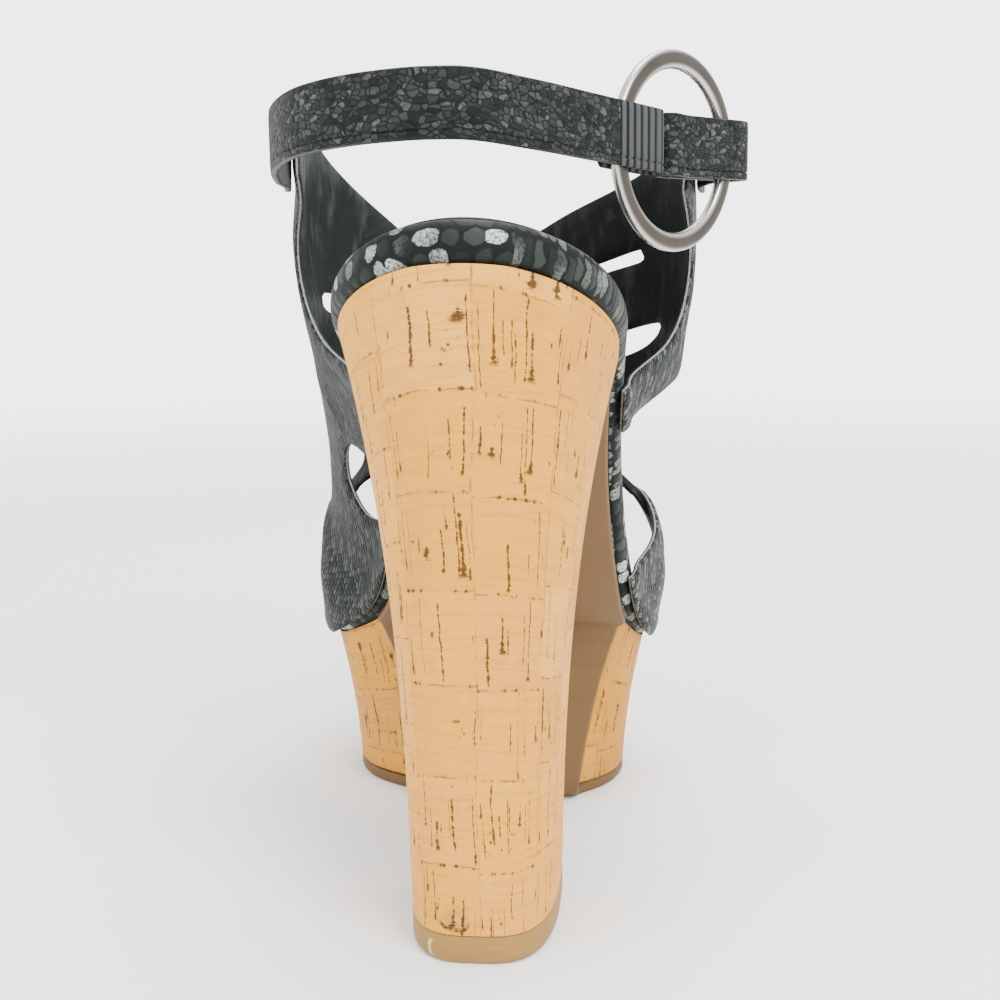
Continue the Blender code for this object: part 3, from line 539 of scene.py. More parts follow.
def edge_distance(points, loops):
    """How far each point is from the nearest edge of the pattern."""
    best = np.full(len(points), 1e9)
    for loop in loops:
        a = np.array(loop)
        run = np.roll(a, -1, axis=0) - a
        for start, step in zip(a, run):
            t = np.clip((points - start) @ step / max(step @ step, 1e-12), 0, 1)
            best = np.minimum(best, np.hypot(*(start + t[:, None] * step - points).T))
    return best


def stack_faces(levels, count):
    """Quads between closed rings of equal length, with the (level, column) of each corner."""
    corners = [
        ((level, i), (level, i + 1), (level + 1, i + 1), (level + 1, i))
        for level in range(levels - 1)
        for i in range(count)
    ]
    return [tuple(level * count + i % count for level, i in quad) for quad in corners], corners


def piece(name, points, faces, corner_uv, materials, face_material, stands_for, sharp=40):
    """Makes a shown mesh from points in millimetres and rides it on the shoe."""
    mesh = bpy.data.meshes.new(name)
    mesh.from_pydata([tuple(float(c) * MM for c in p) for p in points], [], faces)
    layer = mesh.uv_layers.new(name="UVMap")
    layer.data.foreach_set("uv", np.array([c for face in corner_uv for c in face], float).ravel())
    for material in materials:
        mesh.materials.append(material)
    mesh.polygons.foreach_set("material_index", np.array(face_material, np.int32))
    body = bmesh.new()
    body.from_mesh(mesh)
    bmesh.ops.remove_doubles(body, verts=body.verts, dist=MERGE_WITHIN)
    bmesh.ops.recalc_face_normals(body, faces=body.faces)
    body.to_mesh(mesh)
    body.free()
    mesh.shade_smooth()
    mesh.set_sharp_from_angle(angle=radians(sharp))
    made = bpy.data.objects.new(name, mesh)
    bpy.context.scene.collection.objects.link(made)
    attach(made, "root")
    if stands_for:
        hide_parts(stands_for)
    return made


def ring_uv(rings):
    """UV of stacked rings in millimetres: along each ring, and down through the rings."""
    rings = np.array(rings)
    shown = np.concatenate([rings, rings[:, :1]], axis=1)
    around = np.linalg.norm(np.diff(shown, axis=1), axis=-1).mean(axis=0)
    across = np.concatenate([[0.0], np.cumsum(around)])
    down = np.linalg.norm(np.diff(rings, axis=0), axis=-1).mean(axis=1)
    along = np.concatenate([[0.0], np.cumsum(down)])
    return across - across[-1] / 2, along


def ring_piece(name, rings, tip, material, stands_for, sharp=40):
    """A body of stacked closed rings, capped straight across at both ends."""
    rings = [np.array(ring) for ring in rings]
    levels, count = len(rings), len(rings[0])
    faces, corners = stack_faces(levels, count)
    across, along = ring_uv(rings)
    uv = [[(across[i], along[level]) for level, i in face] for face in corners]
    points = np.vstack(rings)
    for base in (0, (levels - 1) * count):
        for face in cap(count, base, tip):
            faces.append(face)
            uv.append([(points[i][0], points[i][1]) for i in face])
    return piece(name, points, faces, uv, [material], [0] * len(faces), stands_for, sharp)


def cap(count, base, tip):
    """Faces across a ring whose points pair up from side to side, after a single tip if any."""
    faces = [(base, base + 1, base + count - 1)] if tip else []
    left = base + 1 if tip else base
    right = base + count - 1
    while right - left > 1:
        middle = (left + 1,) if right - left == 2 else (left + 1, right - 1)
        faces.append((left, *middle, right))
        left, right = left + 1, right - 1
    return faces


def worked(operation, turned=False):
    """The method behind a sign: the math node that joins a Term to another value."""

    def method(self, other):
        return self.graph.math(operation, *((other, self) if turned else (self, other)))

    return method


class Term:
    """A value inside a material, which plain signs join to numbers and to other values."""

    def __init__(self, graph, socket):
        self.graph, self.socket = graph, socket

    def __abs__(self):
        return self.graph.math("ABSOLUTE", self)

    def __floor__(self):
        return self.graph.math("FLOOR", self)

    __add__ = worked("ADD")
    __radd__ = worked("ADD", turned=True)
    __sub__ = worked("SUBTRACT")
    __rsub__ = worked("SUBTRACT", turned=True)
    __mul__ = worked("MULTIPLY")
    __truediv__ = worked("DIVIDE")
    __pow__ = worked("POWER")
    __mod__ = worked("MODULO")
    __gt__ = worked("GREATER_THAN")
    __lt__ = worked("LESS_THAN")


class Graph:
    """A material's node tree, built by short calls that return Terms."""

    def __init__(self, name, roughness=0.5, metallic=0.0, specular=0.5):
        self.material = bpy.data.materials.new(name)
        self.material.use_nodes = True
        self.tree = self.material.node_tree
        self.shader = self.tree.nodes["Principled BSDF"]
        self.feed(self.shader, {"Roughness": roughness, "Metallic": metallic, "Specular IOR Level": specular})
        self.uv = self.node("ShaderNodeUVMap", "UV", uv_map="UVMap")

    def feed(self, node, values):
        """Gives a node's inputs numbers, colours or Terms."""
        for name, value in values.items():
            socket = node.inputs[name]
            if isinstance(value, Term):
                self.tree.links.new(value.socket, socket)
            elif value is not None:
                socket.default_value = (*value, 1.0) if socket.type == "RGBA" else value

    def node(self, kind, output, values=None, **settings):
        """One output of a new node, or a list of several."""
        made = self.tree.nodes.new(kind)
        for name, value in settings.items():
            setattr(made, name, value)
        self.feed(made, values or {})
        if isinstance(output, tuple):
            return [Term(self, made.outputs[name]) for name in output]
        return Term(self, made.outputs[output])

    def math(self, operation, *values):
        return self.node("ShaderNodeMath", 0, dict(enumerate(values)), operation=operation)

    def shift(self, operation, *values):
        return self.node("ShaderNodeVectorMath", 0, dict(enumerate(values)), operation=operation)

    def step(self, value, low, high):
        """0 below low, 1 above high and smooth between; high may be the smaller one."""
        limits = (low, high, 0.0, 1.0) if low <= high else (high, low, 1.0, 0.0)
        values = {"Value": value, **dict(enumerate(limits, 1))}
        return self.node("ShaderNodeMapRange", 0, values, interpolation_type="SMOOTHSTEP")

    def mix(self, factor, a, b):
        return self.node("ShaderNodeMix", 2, {0: factor, 6: a, 7: b}, data_type="RGBA")

    def stretch(self, vector, u, v, move_u=0.0, move_v=0.0):
        """The vector scaled along U and V, and then moved."""
        values = {"Vector": vector, "Scale": (u, v, 1.0), "Location": (move_u, move_v, 0.0)}
        return self.node("ShaderNodeMapping", 0, values)

    def noise(self, vector, scale, detail=3.0, roughness=0.55):
        values = {"Vector": vector, "Scale": scale, "Detail": detail, "Roughness": roughness}
        return self.node("ShaderNodeTexNoise", "Fac", values)

    def cells(self, vector, scale, feature="DISTANCE_TO_EDGE", output="Distance", randomness=1.0):
        values = {"Vector": vector, "Scale": scale, "Randomness": randomness}
        return self.node("ShaderNodeTexVoronoi", output, values, feature=feature)

    def split(self, vector):
        return self.node("ShaderNodeSeparateXYZ", ("X", "Y"), {0: vector})

    def parts(self, colour):
        return self.node("ShaderNodeSeparateColor", (0, 1, 2), {0: colour})

    def chance(self, x, y, seed=0.0):
        """Three random values for each whole x and y."""
        values = {"Vector": self.node("ShaderNodeCombineXYZ", 0, {0: x, 1: y, 2: seed})}
        return self.parts(self.node("ShaderNodeTexWhiteNoise", "Color", values, noise_dimensions="3D"))

    def warp(self, vector, scale, amount):
        """The vector pushed about by soft noise, in its own units."""
        soft = self.node("ShaderNodeTexNoise", "Color", {"Vector": vector, "Scale": scale, "Detail": 1.0})
        centred = self.shift("SUBTRACT", soft, (0.5, 0.5, 0.5))
        pushed = self.node("ShaderNodeVectorMath", 0, {0: centred, "Scale": amount}, operation="SCALE")
        return self.shift("ADD", vector, pushed)

    def bump(self, height, distance, strength=1.0, after=None):
        values = {"Height": height, "Distance": distance, "Strength": strength, "Normal": after}
        return self.node("ShaderNodeBump", 0, values)

    def finish(self, colour, roughness=None, normal=None):
        self.feed(self.shader, {"Base Color": colour, "Roughness": roughness, "Normal": normal})
        return self.material


def times(share, colour):
    """The colour made paler or darker, at most white."""
    return tuple(min(share * c, 1.0) for c in colour)


def scale_pattern(g, length, width, boxy, start=(0.0, 0.0)):
    """Staggered rows of oval scales: how far in each point lies, and three chances a scale."""
    flow = g.warp(g.warp(g.uv, 0.07, min(length, width) * 1.1), 0.4, width * 0.35)
    u, v = g.split(g.stretch(flow, 1 / length, 1 / width, *start))
    row = floor(v)
    shifted = u + abs(row) % 2.0 * 0.5
    column = floor(shifted)
    pick, drift, tint = g.chance(column, row)
    off_u = shifted - column - 0.5 + (drift - 0.5) * 0.20
    off_v = v - row - 0.5 + (tint - 0.5) * 0.16
    reach = (abs(off_u) ** boxy + abs(off_v) ** boxy) ** (1 / boxy)
    rough_edge = (g.noise(g.uv, 0.9) - 0.5) * 0.18
    return reach + rough_edge - (pick - 0.5) * 0.10, pick, drift, tint


def cell_pattern(g, length, width):
    """Irregular cells in place of the rows: how far out each point lies, and three chances."""
    flow = g.stretch(g.warp(g.uv, 0.35, 0.8), 1 / length, 1 / width)
    edge = g.cells(flow, 1.0, randomness=0.75)
    rough_edge = (g.noise(g.uv, 1.2) - 0.5) * 0.12
    return 0.5 - edge * 1.1 + rough_edge, *g.parts(g.cells(flow, 1.0, "F1", "Color", 0.75))


def snakeskin(name, length, width, boxy, silver, shine, plates=None, sides=None):
    """Leather with raised scales, some of them silver; boxy 0 makes them irregular.

    length and width are a scale's size in millimetres along U and V, boxy squares the ovals
    off, silver is the share of silver scales and shine how pale they are. plates gives the
    stretch of U in which long plates take the place of the ovals. sides gives how strong the
    silver is on the outer side and on the inner side of V = 0.
    """
    g = Graph(name, roughness=0.42, specular=0.06)
    u, v = g.split(g.uv)
    if boxy:
        reach, pick, drift, tint = scale_pattern(g, length, width, boxy)
    else:
        reach, pick, drift, tint = cell_pattern(g, length, width)
    if plates:
        long_reach, long_pick, long_drift, long_tint = scale_pattern(g, *LONG_PLATE)
        here = (u > plates[0]) * (u < plates[1])

        def either(a, b):
            return a * (1.0 - here) + b * here

        reach = either(reach, long_reach)
        pick = either(pick, long_pick * 0.4 + 0.45)
        drift = either(drift, long_drift * 0.3)
        tint = either(tint, long_tint)
    lit = pick + (g.noise(g.uv, 0.045, 2.0) - 0.5) * 0.9
    pale_share = g.step(lit, 1.0 - silver, 1.0 - silver * 0.25)
    if sides:
        pale_share = pale_share * (sides[0] + g.step(v, -15.0, 25.0) * (sides[1] - sides[0]))
    speckle = g.noise(g.uv, 1.5, 4.0, 0.7)
    dark = g.mix(tint, (0.0060, 0.0085, 0.0070), (0.030, 0.035, 0.031))
    pale = g.mix(drift, times(shine, (0.29, 0.33, 0.29)), times(shine, (0.96, 1.0, 0.95)))
    worn = g.mix(g.step(speckle, 0.34, 0.60), (0.020, 0.026, 0.024), pale)
    ground = g.mix(g.noise(g.uv, 0.7), (0.0025, 0.0035, 0.0034), (0.010, 0.013, 0.012))
    colour = g.mix(g.step(reach, 0.46, 0.38), ground, g.mix(pale_share, dark, worn))
    fine = g.bump(g.step(g.cells(g.uv, 1.9), 0.0, 0.2), 0.00006, 0.5)
    return g.finish(colour, 0.34 + speckle * 0.26, g.bump(g.step(reach, 0.50, 0.10), 0.00032, 0.9, fine))


def lining_leather(name, painted_sheen, outer_shade_share=None):
    """Smooth dark lining with a fine grain, soft wrinkles and pale streaks painted as sheen.

    The outer share is how pale it stays on the outer side of V = 0, beside the inner side; that side is
    darkened as painted shade.
    """
    g = Graph(name, roughness=0.5, specular=0.08)
    grain = g.cells(g.warp(g.uv, 0.5, 0.6), 1.5)
    clouds = g.noise(g.uv, 0.05, 4.0, 0.6)
    streaks = g.noise(g.stretch(g.warp(g.uv, 0.03, 14.0), 0.12, 0.5), 0.5)
    base = g.mix(clouds, (0.009, 0.012, 0.010), (0.030, 0.036, 0.032))
    # Painted sheen: pale streaks laid into the colour
    colour = g.mix(g.step(streaks, 0.50, 0.72) * painted_sheen, base, (0.085, 0.094, 0.087))
    # Painted shade: the outer side of V = 0 is mixed towards black
    if outer_shade_share:
        inner = g.step(g.split(g.uv)[1], -12.0, 12.0)
        colour = g.mix(inner, g.mix(1.0 - outer_shade_share, colour, (0.0, 0.0, 0.0)), colour)
    wrinkles = g.bump(streaks, 0.0010, 0.6)
    return g.finish(colour, 0.40 + clouds * 0.25, g.bump(g.step(grain, 0.0, 0.22), 0.00006, 0.6, wrinkles))


def cork_cracks(g, tile, lanes, tile_width, line, share, seed):
    """Vertical cracks of a cork tile: some of its lanes hold one, which swells at its lower end.

    tile is the tile's column and row, the place across and down it from 0 to 1, and how cracked
    the whole tile is.
    """
    column, row, across, down, cracked = tile
    spread = across * lanes
    lane = floor(spread)
    key = column * lanes + lane
    pick, at, size = g.chance(key, row, seed)
    start, stop, taper = g.chance(key, row, seed + 1.0)
    off = abs(spread - lane - (at * 0.5 + 0.25)) * (tile_width / lanes)
    beads = g.noise(g.stretch(g.uv, 0.35, 1.0, seed), 0.9, 3.0, 0.7)
    below_top = down - start * 0.65
    above_foot = 1.0 - stop * 0.55 - down
    swell = g.step(below_top, 0.20, 0.02) * (taper * taper)
    thick = (size + 0.30) * g.step(beads, 0.33, 0.66) * (swell * 1.1 + line)
    ragged = g.noise(g.uv, 2.2, 3.0, 0.7) * 0.9
    on_line = g.step(off / (thick + 0.0001), 1.35, 0.55) * g.step(ragged, 0.26, 0.40)
    ends = g.step(below_top, 0.0, 0.05) * g.step(above_foot, 0.0, 0.03)
    return on_line * ends * (pick < cracked * share)


def cork(name, tile_width, tile_height, painted_shade_by=1.0, dirt=None):
    """Cork veneer: rectangular patches with thin seams, fine layers and dark cracks.

    dirt is the UV place of a grey stain with a dark lower edge. The darkening factor makes every colour
    darker as painted shade, for a copy of the cork that lies in shade.
    """
    g = Graph(name, roughness=0.55, specular=0.12)
    bent = g.warp(g.warp(g.uv, 0.05, 2.6), 0.35, 0.55)
    u, v = g.split(g.stretch(bent, 1 / tile_width, 1 / tile_height, 0.31))
    column = floor(u)
    lifted = v + g.chance(column, 7.0)[0]
    row = floor(lifted)
    pick, hue, shade = g.chance(column, row, 2.0)
    cracked = g.chance(column, row, 4.0)[0] * 0.72 + 0.28
    across, down = u - column, lifted - row
    edge_u, edge_v = abs(across - 0.5), abs(down - 0.5)
    seam_u = g.step(edge_u, 0.5 - CORK_SEAMS[0] / tile_width, 0.5)
    seam_v = g.step(edge_v, 0.5 - CORK_SEAMS[1] / tile_height, 0.5)
    seam = g.math("MAXIMUM", seam_u, seam_v) * g.step(g.noise(g.uv, 0.22, 2.0), 0.40, 0.6)
    beaded = g.step(g.noise(g.stretch(g.uv, 1.0, 0.3), 0.8, 2.0, 0.6), 0.54, 0.66)
    joint = g.step(edge_v, 0.5 - CORK_JOINT[0] / tile_height, 0.5 - CORK_JOINT[1] / tile_height) * beaded
    # Painted shade: the darkening factor turns these colours into a shaded copy of the cork
    golden = g.mix(hue, times(painted_shade_by, (0.63, 0.278, 0.024)), times(painted_shade_by, (0.71, 0.325, 0.034)))
    pinker = g.mix(hue, times(painted_shade_by, (0.65, 0.285, 0.042)), times(painted_shade_by, (0.74, 0.350, 0.060)))
    shown = g.mix(g.step(pick, 0.45, 0.75), golden, pinker)
    layers = g.noise(g.stretch(g.warp(g.uv, 0.05, 3.0), 0.05, 1.0), 1.1, 4.0, 0.6)
    mottle = g.noise(g.uv, 0.35, 4.0, 0.65)
    stain = g.step(g.noise(g.stretch(g.uv, 1.0, 0.5), 0.13, 4.0, 0.6), 0.58, 0.75)
    for much, tone in (
        (shade * 0.4, (0.52, 0.215, 0.016)),
        (g.step(layers, 0.42, 0.72) * 0.5, (0.46, 0.185, 0.016)),
        (g.step(mottle, 0.5, 0.75) * 0.3, (0.80, 0.41, 0.06)),
        (stain * 0.35, (0.38, 0.165, 0.020)),
        (seam * 0.75, (0.16, 0.070, 0.014)),
    ):
        shown = g.mix(much, shown, times(painted_shade_by, tone))
    tile = (column, row, across, down, cracked)
    broad = cork_cracks(g, tile, 4.0, tile_width, line=0.40, share=0.75, seed=1.0)
    thin = cork_cracks(g, tile, 8.0, tile_width, line=0.20, share=0.95, seed=5.0)
    specks = g.step(g.cells(g.stretch(g.uv, 1.0, 0.7), 0.85, "F1"), 0.26, 0.12)
    dots = specks * g.step(g.noise(g.uv, 0.085, 2.0), 0.58, 0.68)
    cracks = g.math("MAXIMUM", g.math("MAXIMUM", broad, thin), g.math("MAXIMUM", joint, dots))
    if dirt:
        x, y = g.split(g.warp(g.stretch(g.uv, 1.0, 1.0, -dirt[0], -dirt[1]), 0.5, 1.2))
        from_middle = x * x * (1 / 3.4**2) + y * y * (1 / 2.4**2)
        grime = g.step(from_middle, 1.3, 0.3) * g.step(mottle, 0.30, 0.60)
        shown = g.mix(grime * 0.55, shown, (0.22, 0.165, 0.075))
        arc = y - x * x * 0.09 + 2.2
        rim = g.step(abs(arc), 0.65, 0.25) * g.step(abs(x), 3.8, 3.0)
        rim = rim * g.step(g.noise(g.uv, 1.1, 3.0, 0.7), 0.36, 0.52)
        cracks = g.math("MAXIMUM", cracks, rim)
    deep = g.mix(g.noise(g.uv, 0.8, 2.0), (0.014, 0.007, 0.002), (0.085, 0.042, 0.010))
    colour = g.mix(cracks * 0.95, shown, deep)
    return g.finish(colour, 0.50 + mottle * 0.2, g.bump(layers * 0.25 - cracks, 0.00020, 0.8))


def tan_sole(name, colour, worn, scuff=None):
    """Smooth tan sole leather, with a little scuffing and perhaps one pale mark at a UV place."""
    g = Graph(name, roughness=0.5, specular=0.2)
    clouds = g.noise(g.uv, 0.06, 4.0, 0.6)
    fibres = g.noise(g.stretch(g.uv, 0.12, 1.0), 0.9, 4.0, 0.65)
    scratches = g.noise(g.stretch(g.warp(g.uv, 0.05, 5.0), 0.06, 1.6), 1.2, 2.0)
    shown = g.mix(clouds * 0.5, colour, times(0.72, colour))
    shown = g.mix(g.step(fibres, 0.5, 0.7) * 0.16, shown, times(1.4, colour))
    shown = g.mix(g.step(scratches, 0.66, 0.72) * worn, shown, times(1.7, colour))
    if scuff:
        u, v = g.split(g.stretch(g.warp(g.uv, 0.6, 0.9), 1.0, 1.0, -scuff[0], -scuff[1]))
        mark = g.step(abs(u + v * v * 0.25), 0.75, 0.25) * g.step(abs(v), 2.1, 1.2)
        shown = g.mix(mark * 0.8, shown, (0.62, 0.43, 0.27))
    return g.finish(shown, 0.42 + fibres * 0.2, g.bump(fibres, 0.00008, 0.5))


def cut_edge():
    """The pale cut edge between the two leathers."""
    g = Graph("cut_edge", roughness=0.7)
    fibres = g.noise(g.uv, 1.3, 4.0, 0.7)
    colour = g.mix(g.step(fibres, 0.30, 0.65), (0.07, 0.08, 0.075), (0.26, 0.27, 0.26))
    return g.finish(colour, None, g.bump(fibres, 0.0001, 0.5))


def edge_paint():
    """Dark paint over the strap's cut sides."""
    g = Graph("edge_paint", roughness=0.45, specular=0.15)
    clouds = g.noise(g.uv, 0.8)
    colour = g.mix(clouds, (0.004, 0.005, 0.005), (0.024, 0.027, 0.026))
    return g.finish(colour, None, g.bump(clouds, 0.0001, 0.4))


def ribbed_elastic():
    """Black woven elastic, with painted shade in the grooves between its ribs and painted highlights on the
    ridges.
    """
    g = Graph("ribbed_elastic", roughness=0.85, specular=0.2)
    u, v = g.split(g.uv)
    weft = g.math("SINE", v * (2 * pi / WEFT_PITCH))
    weave = weft * g.math("SINE", u * (2 * pi / WARP_PITCH))
    # Painted light: the grooves between the ribs are painted near black as shade, the ridges keep the paler
    # woven colour as highlights
    ridge = g.step(abs(g.math("SINE", u * (pi / RIB_PITCH))), 0.35, 0.95)
    woven = g.mix(g.step(weave, -0.6, 0.9), (0.030, 0.033, 0.033), (0.105, 0.112, 0.110))
    colour = g.mix(ridge, (0.003, 0.0035, 0.004), woven)
    return g.finish(colour, None, g.bump(weave, 0.00012, 0.8))


def satin_nickel():
    """Ring metal with brushed faces, painted dark brown-grey as a reflection, and rounded edges in the paler
    metal colour.
    """
    g = Graph("satin_nickel", roughness=0.3, metallic=1.0)
    brushed = g.noise(g.stretch(g.uv, 0.04, 3.0), 1.5, 3.0, 0.6)
    from_face = abs(abs(g.split(g.uv)[1]) - RING_GIRTH / 4)
    # Painted reflection: the flat faces get a dark brown-grey colour; the rounded edges keep the paler metal
    # colour
    face = g.mix(g.noise(g.uv, 0.12), (0.070, 0.061, 0.049), (0.115, 0.102, 0.085))
    colour = g.mix(g.step(from_face, 0.8, 1.8), face, (0.50, 0.48, 0.45))
    return g.finish(colour, 0.20 + brushed * 0.22, g.bump(brushed, 0.00003, 0.4))


def crease_depth(s, girth):
    """How far the creases press the upper in at each pattern place, in millimetres."""
    depth = np.zeros(len(s))
    here = np.stack([s, girth], axis=-1)
    for share_a, girth_a, share_b, girth_b, half_width, deep in CREASES:
        a = np.array([share_a * LENGTH, girth_a * GIRTH_SCALE])
        run = np.array([share_b * LENGTH, girth_b * GIRTH_SCALE]) - a
        t = (here - a) @ run / (run @ run)
        off = np.hypot(*(a + np.clip(t, 0, 1)[:, None] * run - here).T)
        fade = np.clip(1 - (2 * np.clip(t, 0, 1) - 1) ** 4, 0, 1)
        depth += deep * np.exp(-((off / half_width) ** 2)) * fade
    return depth


def skin_map(s, girth):
    """Real millimetres over the upper's outside: along it, and across from the instep's ridge."""
    stations = np.linspace(*UPPER_SPAN, SKIN_ROWS) * LENGTH
    across = np.linspace(0, 1, SKIN_COLUMNS)
    sheet = last_surface(stations[:, None], across[None, :], np.full((1, 1), WALL))
    over, ahead = (
        np.cumsum(np.insert(np.linalg.norm(np.diff(sheet, axis=axis), axis=-1), 0, 0.0, axis), axis)
        for axis in (1, 0)
    )
    over -= over[:, [SKIN_COLUMNS // 2]]
    ahead -= ahead[SKIN_ROWS // 2]
    at = np.clip((s - stations[0]) / (stations[1] - stations[0]), 0, SKIN_ROWS - 1.001)
    turn = np.clip(girth / GIRTH_SCALE, 0, 0.99999) * (SKIN_COLUMNS - 1)
    low, column = at.astype(int), turn.astype(int)

    def read(run):
        near, far = (
            run[row, column] * (1 - turn % 1) + run[row, column + 1] * (turn % 1)
            for row in (low, low + 1)
        )
        return near * (1 - at % 1) + far * (at % 1)

    return np.stack([read(ahead), read(over)], axis=-1)


def upper_mesh():
    """Fine triangles of the flat pattern, its edge loops and each edge point's outward side."""
    rim, holes = upper_pattern(UPPER_STEP)
    loops = [rim] + holes
    points = []
    edges = []
    for loop in loops:
        base = len(points)
        points += loop
        edges += [(base + i, base + (i + 1) % len(loop)) for i in range(len(loop))]
    s_at, v_at = np.meshgrid(
        np.arange(UPPER_SPAN[0] * LENGTH, UPPER_SPAN[1] * LENGTH, UPPER_GRID),
        np.arange(UPPER_GRID, GIRTH_SCALE, UPPER_GRID),
    )
    s_at[::2] += UPPER_GRID / 2
    spread = np.stack([s_at.ravel(), v_at.ravel()], axis=-1)
    spread = spread[on_leather(spread, rim, holes)]
    spread = spread[edge_distance(spread, loops) > 0.55 * UPPER_GRID]
    points += [tuple(map(float, p)) for p in spread]
    flat = delaunay_2d_cdt([Vector(p) for p in points], edges, [], 0, 1e-5)
    spots = np.array([(p.x, p.y) for p in flat[0]])
    faces = [tuple(face) for face in flat[2]]
    middles = np.array([spots[list(face)].mean(axis=0) for face in faces])
    on = on_leather(middles, rim, holes)
    return spots, [face for face, keep in zip(faces, on) if keep], loops


def boundary_runs(faces):
    """Directed edges that belong to one face only."""
    seen = {(a, b) for face in faces for a, b in zip(face, face[1:] + face[:1])}
    return [(a, b) for a, b in seen if (b, a) not in seen]


def build_upper(skin, lining, edge):
    """The whole strap work: snakeskin outside, lining inside, a pale cut edge between."""
    spots, faces, loops = upper_mesh()
    used = sorted({i for face in faces for i in face})
    number = {old: new for new, old in enumerate(used)}
    spots = spots[used]
    faces = [tuple(number[i] for i in face) for face in faces]
    open_edges = boundary_runs(faces)
    outward = np.zeros((len(spots), 2))
    for a, b in open_edges:
        run = spots[b] - spots[a]
        side = np.array([run[1], -run[0]]) / max(np.hypot(*run), 1e-9)
        outward[a] += side
        outward[b] += side
    length = np.hypot(*outward.T)
    outward[length > 0] /= length[length > 0, None]
    clear = edge_distance(spots, loops)
    s, girth = spots.T
    flat = skin_map(s, girth)
    sunk = np.clip(-crease_depth(s, girth) * np.clip(clear / CREASE_FADE, 0, 1), -DEEPEST, HIGHEST)
    soft = np.clip(1 - clear / EDGE_SOFT[0], 0, 1) ** 2 * EDGE_SOFT[1]
    count = len(spots)
    rim_ids = sorted({i for edge_pair in open_edges for i in edge_pair})
    rim_number = {i: k for k, i in enumerate(rim_ids)}
    v = girth / GIRTH_SCALE
    points = [last_surface(s, v, sunk + soft * 0.5), last_surface(s, v, WALL + sunk - soft)]
    rim_s, rim_g = (spots[rim_ids] + outward[rim_ids] * EDGE_BULGE).T
    rim_v = np.clip(rim_g, 0.0, GIRTH_SCALE) / GIRTH_SCALE
    for share in (LINING_SHARE, CUT_SHARE):
        points.append(last_surface(rim_s, rim_v, np.full(len(rim_ids), WALL * share)))
    base_a = 2 * count
    base_b = base_a + len(rim_ids)
    rows = []
    for face in faces:
        rows.append(([i + count for i in face], flat[list(face)], 0))
        rows.append((face[::-1], flat[list(face[::-1])], 1))
    for a, b in open_edges:
        ka, kb = rim_number[a], rim_number[b]
        uv = (flat[a], flat[b], flat[b] + outward[b], flat[a] + outward[a])
        rows.append(((a, b, base_a + kb, base_a + ka), uv, 1))
        rows.append(((base_a + ka, base_a + kb, base_b + kb, base_b + ka), uv, 2))
        rows.append(((base_b + ka, base_b + kb, b + count, a + count), uv, 0))
    shell, uv, kinds = zip(*rows)
    materials = [skin, lining, edge]
    return piece("upper_straps", np.vstack(points), shell, uv, materials, kinds, "upper", 60)


def from_toe(ring, points):
    """The same ring begun at the toe, so that the back of the heel is at U = 0."""
    return np.roll(ring, 1 - points, axis=0)


def build_footbed(skin):
    """The wrapped board, whose rolled rim shows its large scales."""
    half = FOOTBED_THICKNESS / 2
    rings = []
    for turn in np.radians(np.linspace(90, -90, RIM_TURNS)):
        ring = from_toe(outline(RIM_ROUND * (1 - cos(turn)), FOOTBED_POINTS), FOOTBED_POINTS)
        rings.append(place(ring[:, 0], ring[:, 1], -half + half * sin(turn)))
    return ring_piece("footbed_wrap", rings, True, skin, "footbed")


def build_insole(material):
    """The sock, slightly padded, with a turned edge."""
    rings = []
    for inset, rise in ((0.1, 0.0), (0.0, 0.4), (0.15, 0.9), (INSOLE_BEVEL, INSOLE_THICKNESS)):
        ring = from_toe(outline(INSOLE_INSET + inset, INSOLE_POINTS), INSOLE_POINTS)
        rings.append(place(ring[:, 0], ring[:, 1], GAP + rise))
    return ring_piece("insole_sock", rings, True, material, "insole", 30)


def tread_height(y):
    """Height of the outsole's upper face above the floor, with the toe spring."""
    toe = TOE_Y - PLATFORM_TOE_TUCK
    rise = np.clip((np.asarray(y, float) - TOE_SPRING_START) / (toe - TOE_SPRING_START), 0, None)
    return OUTSOLE_THICKNESS + TOE_SPRING * rise**2


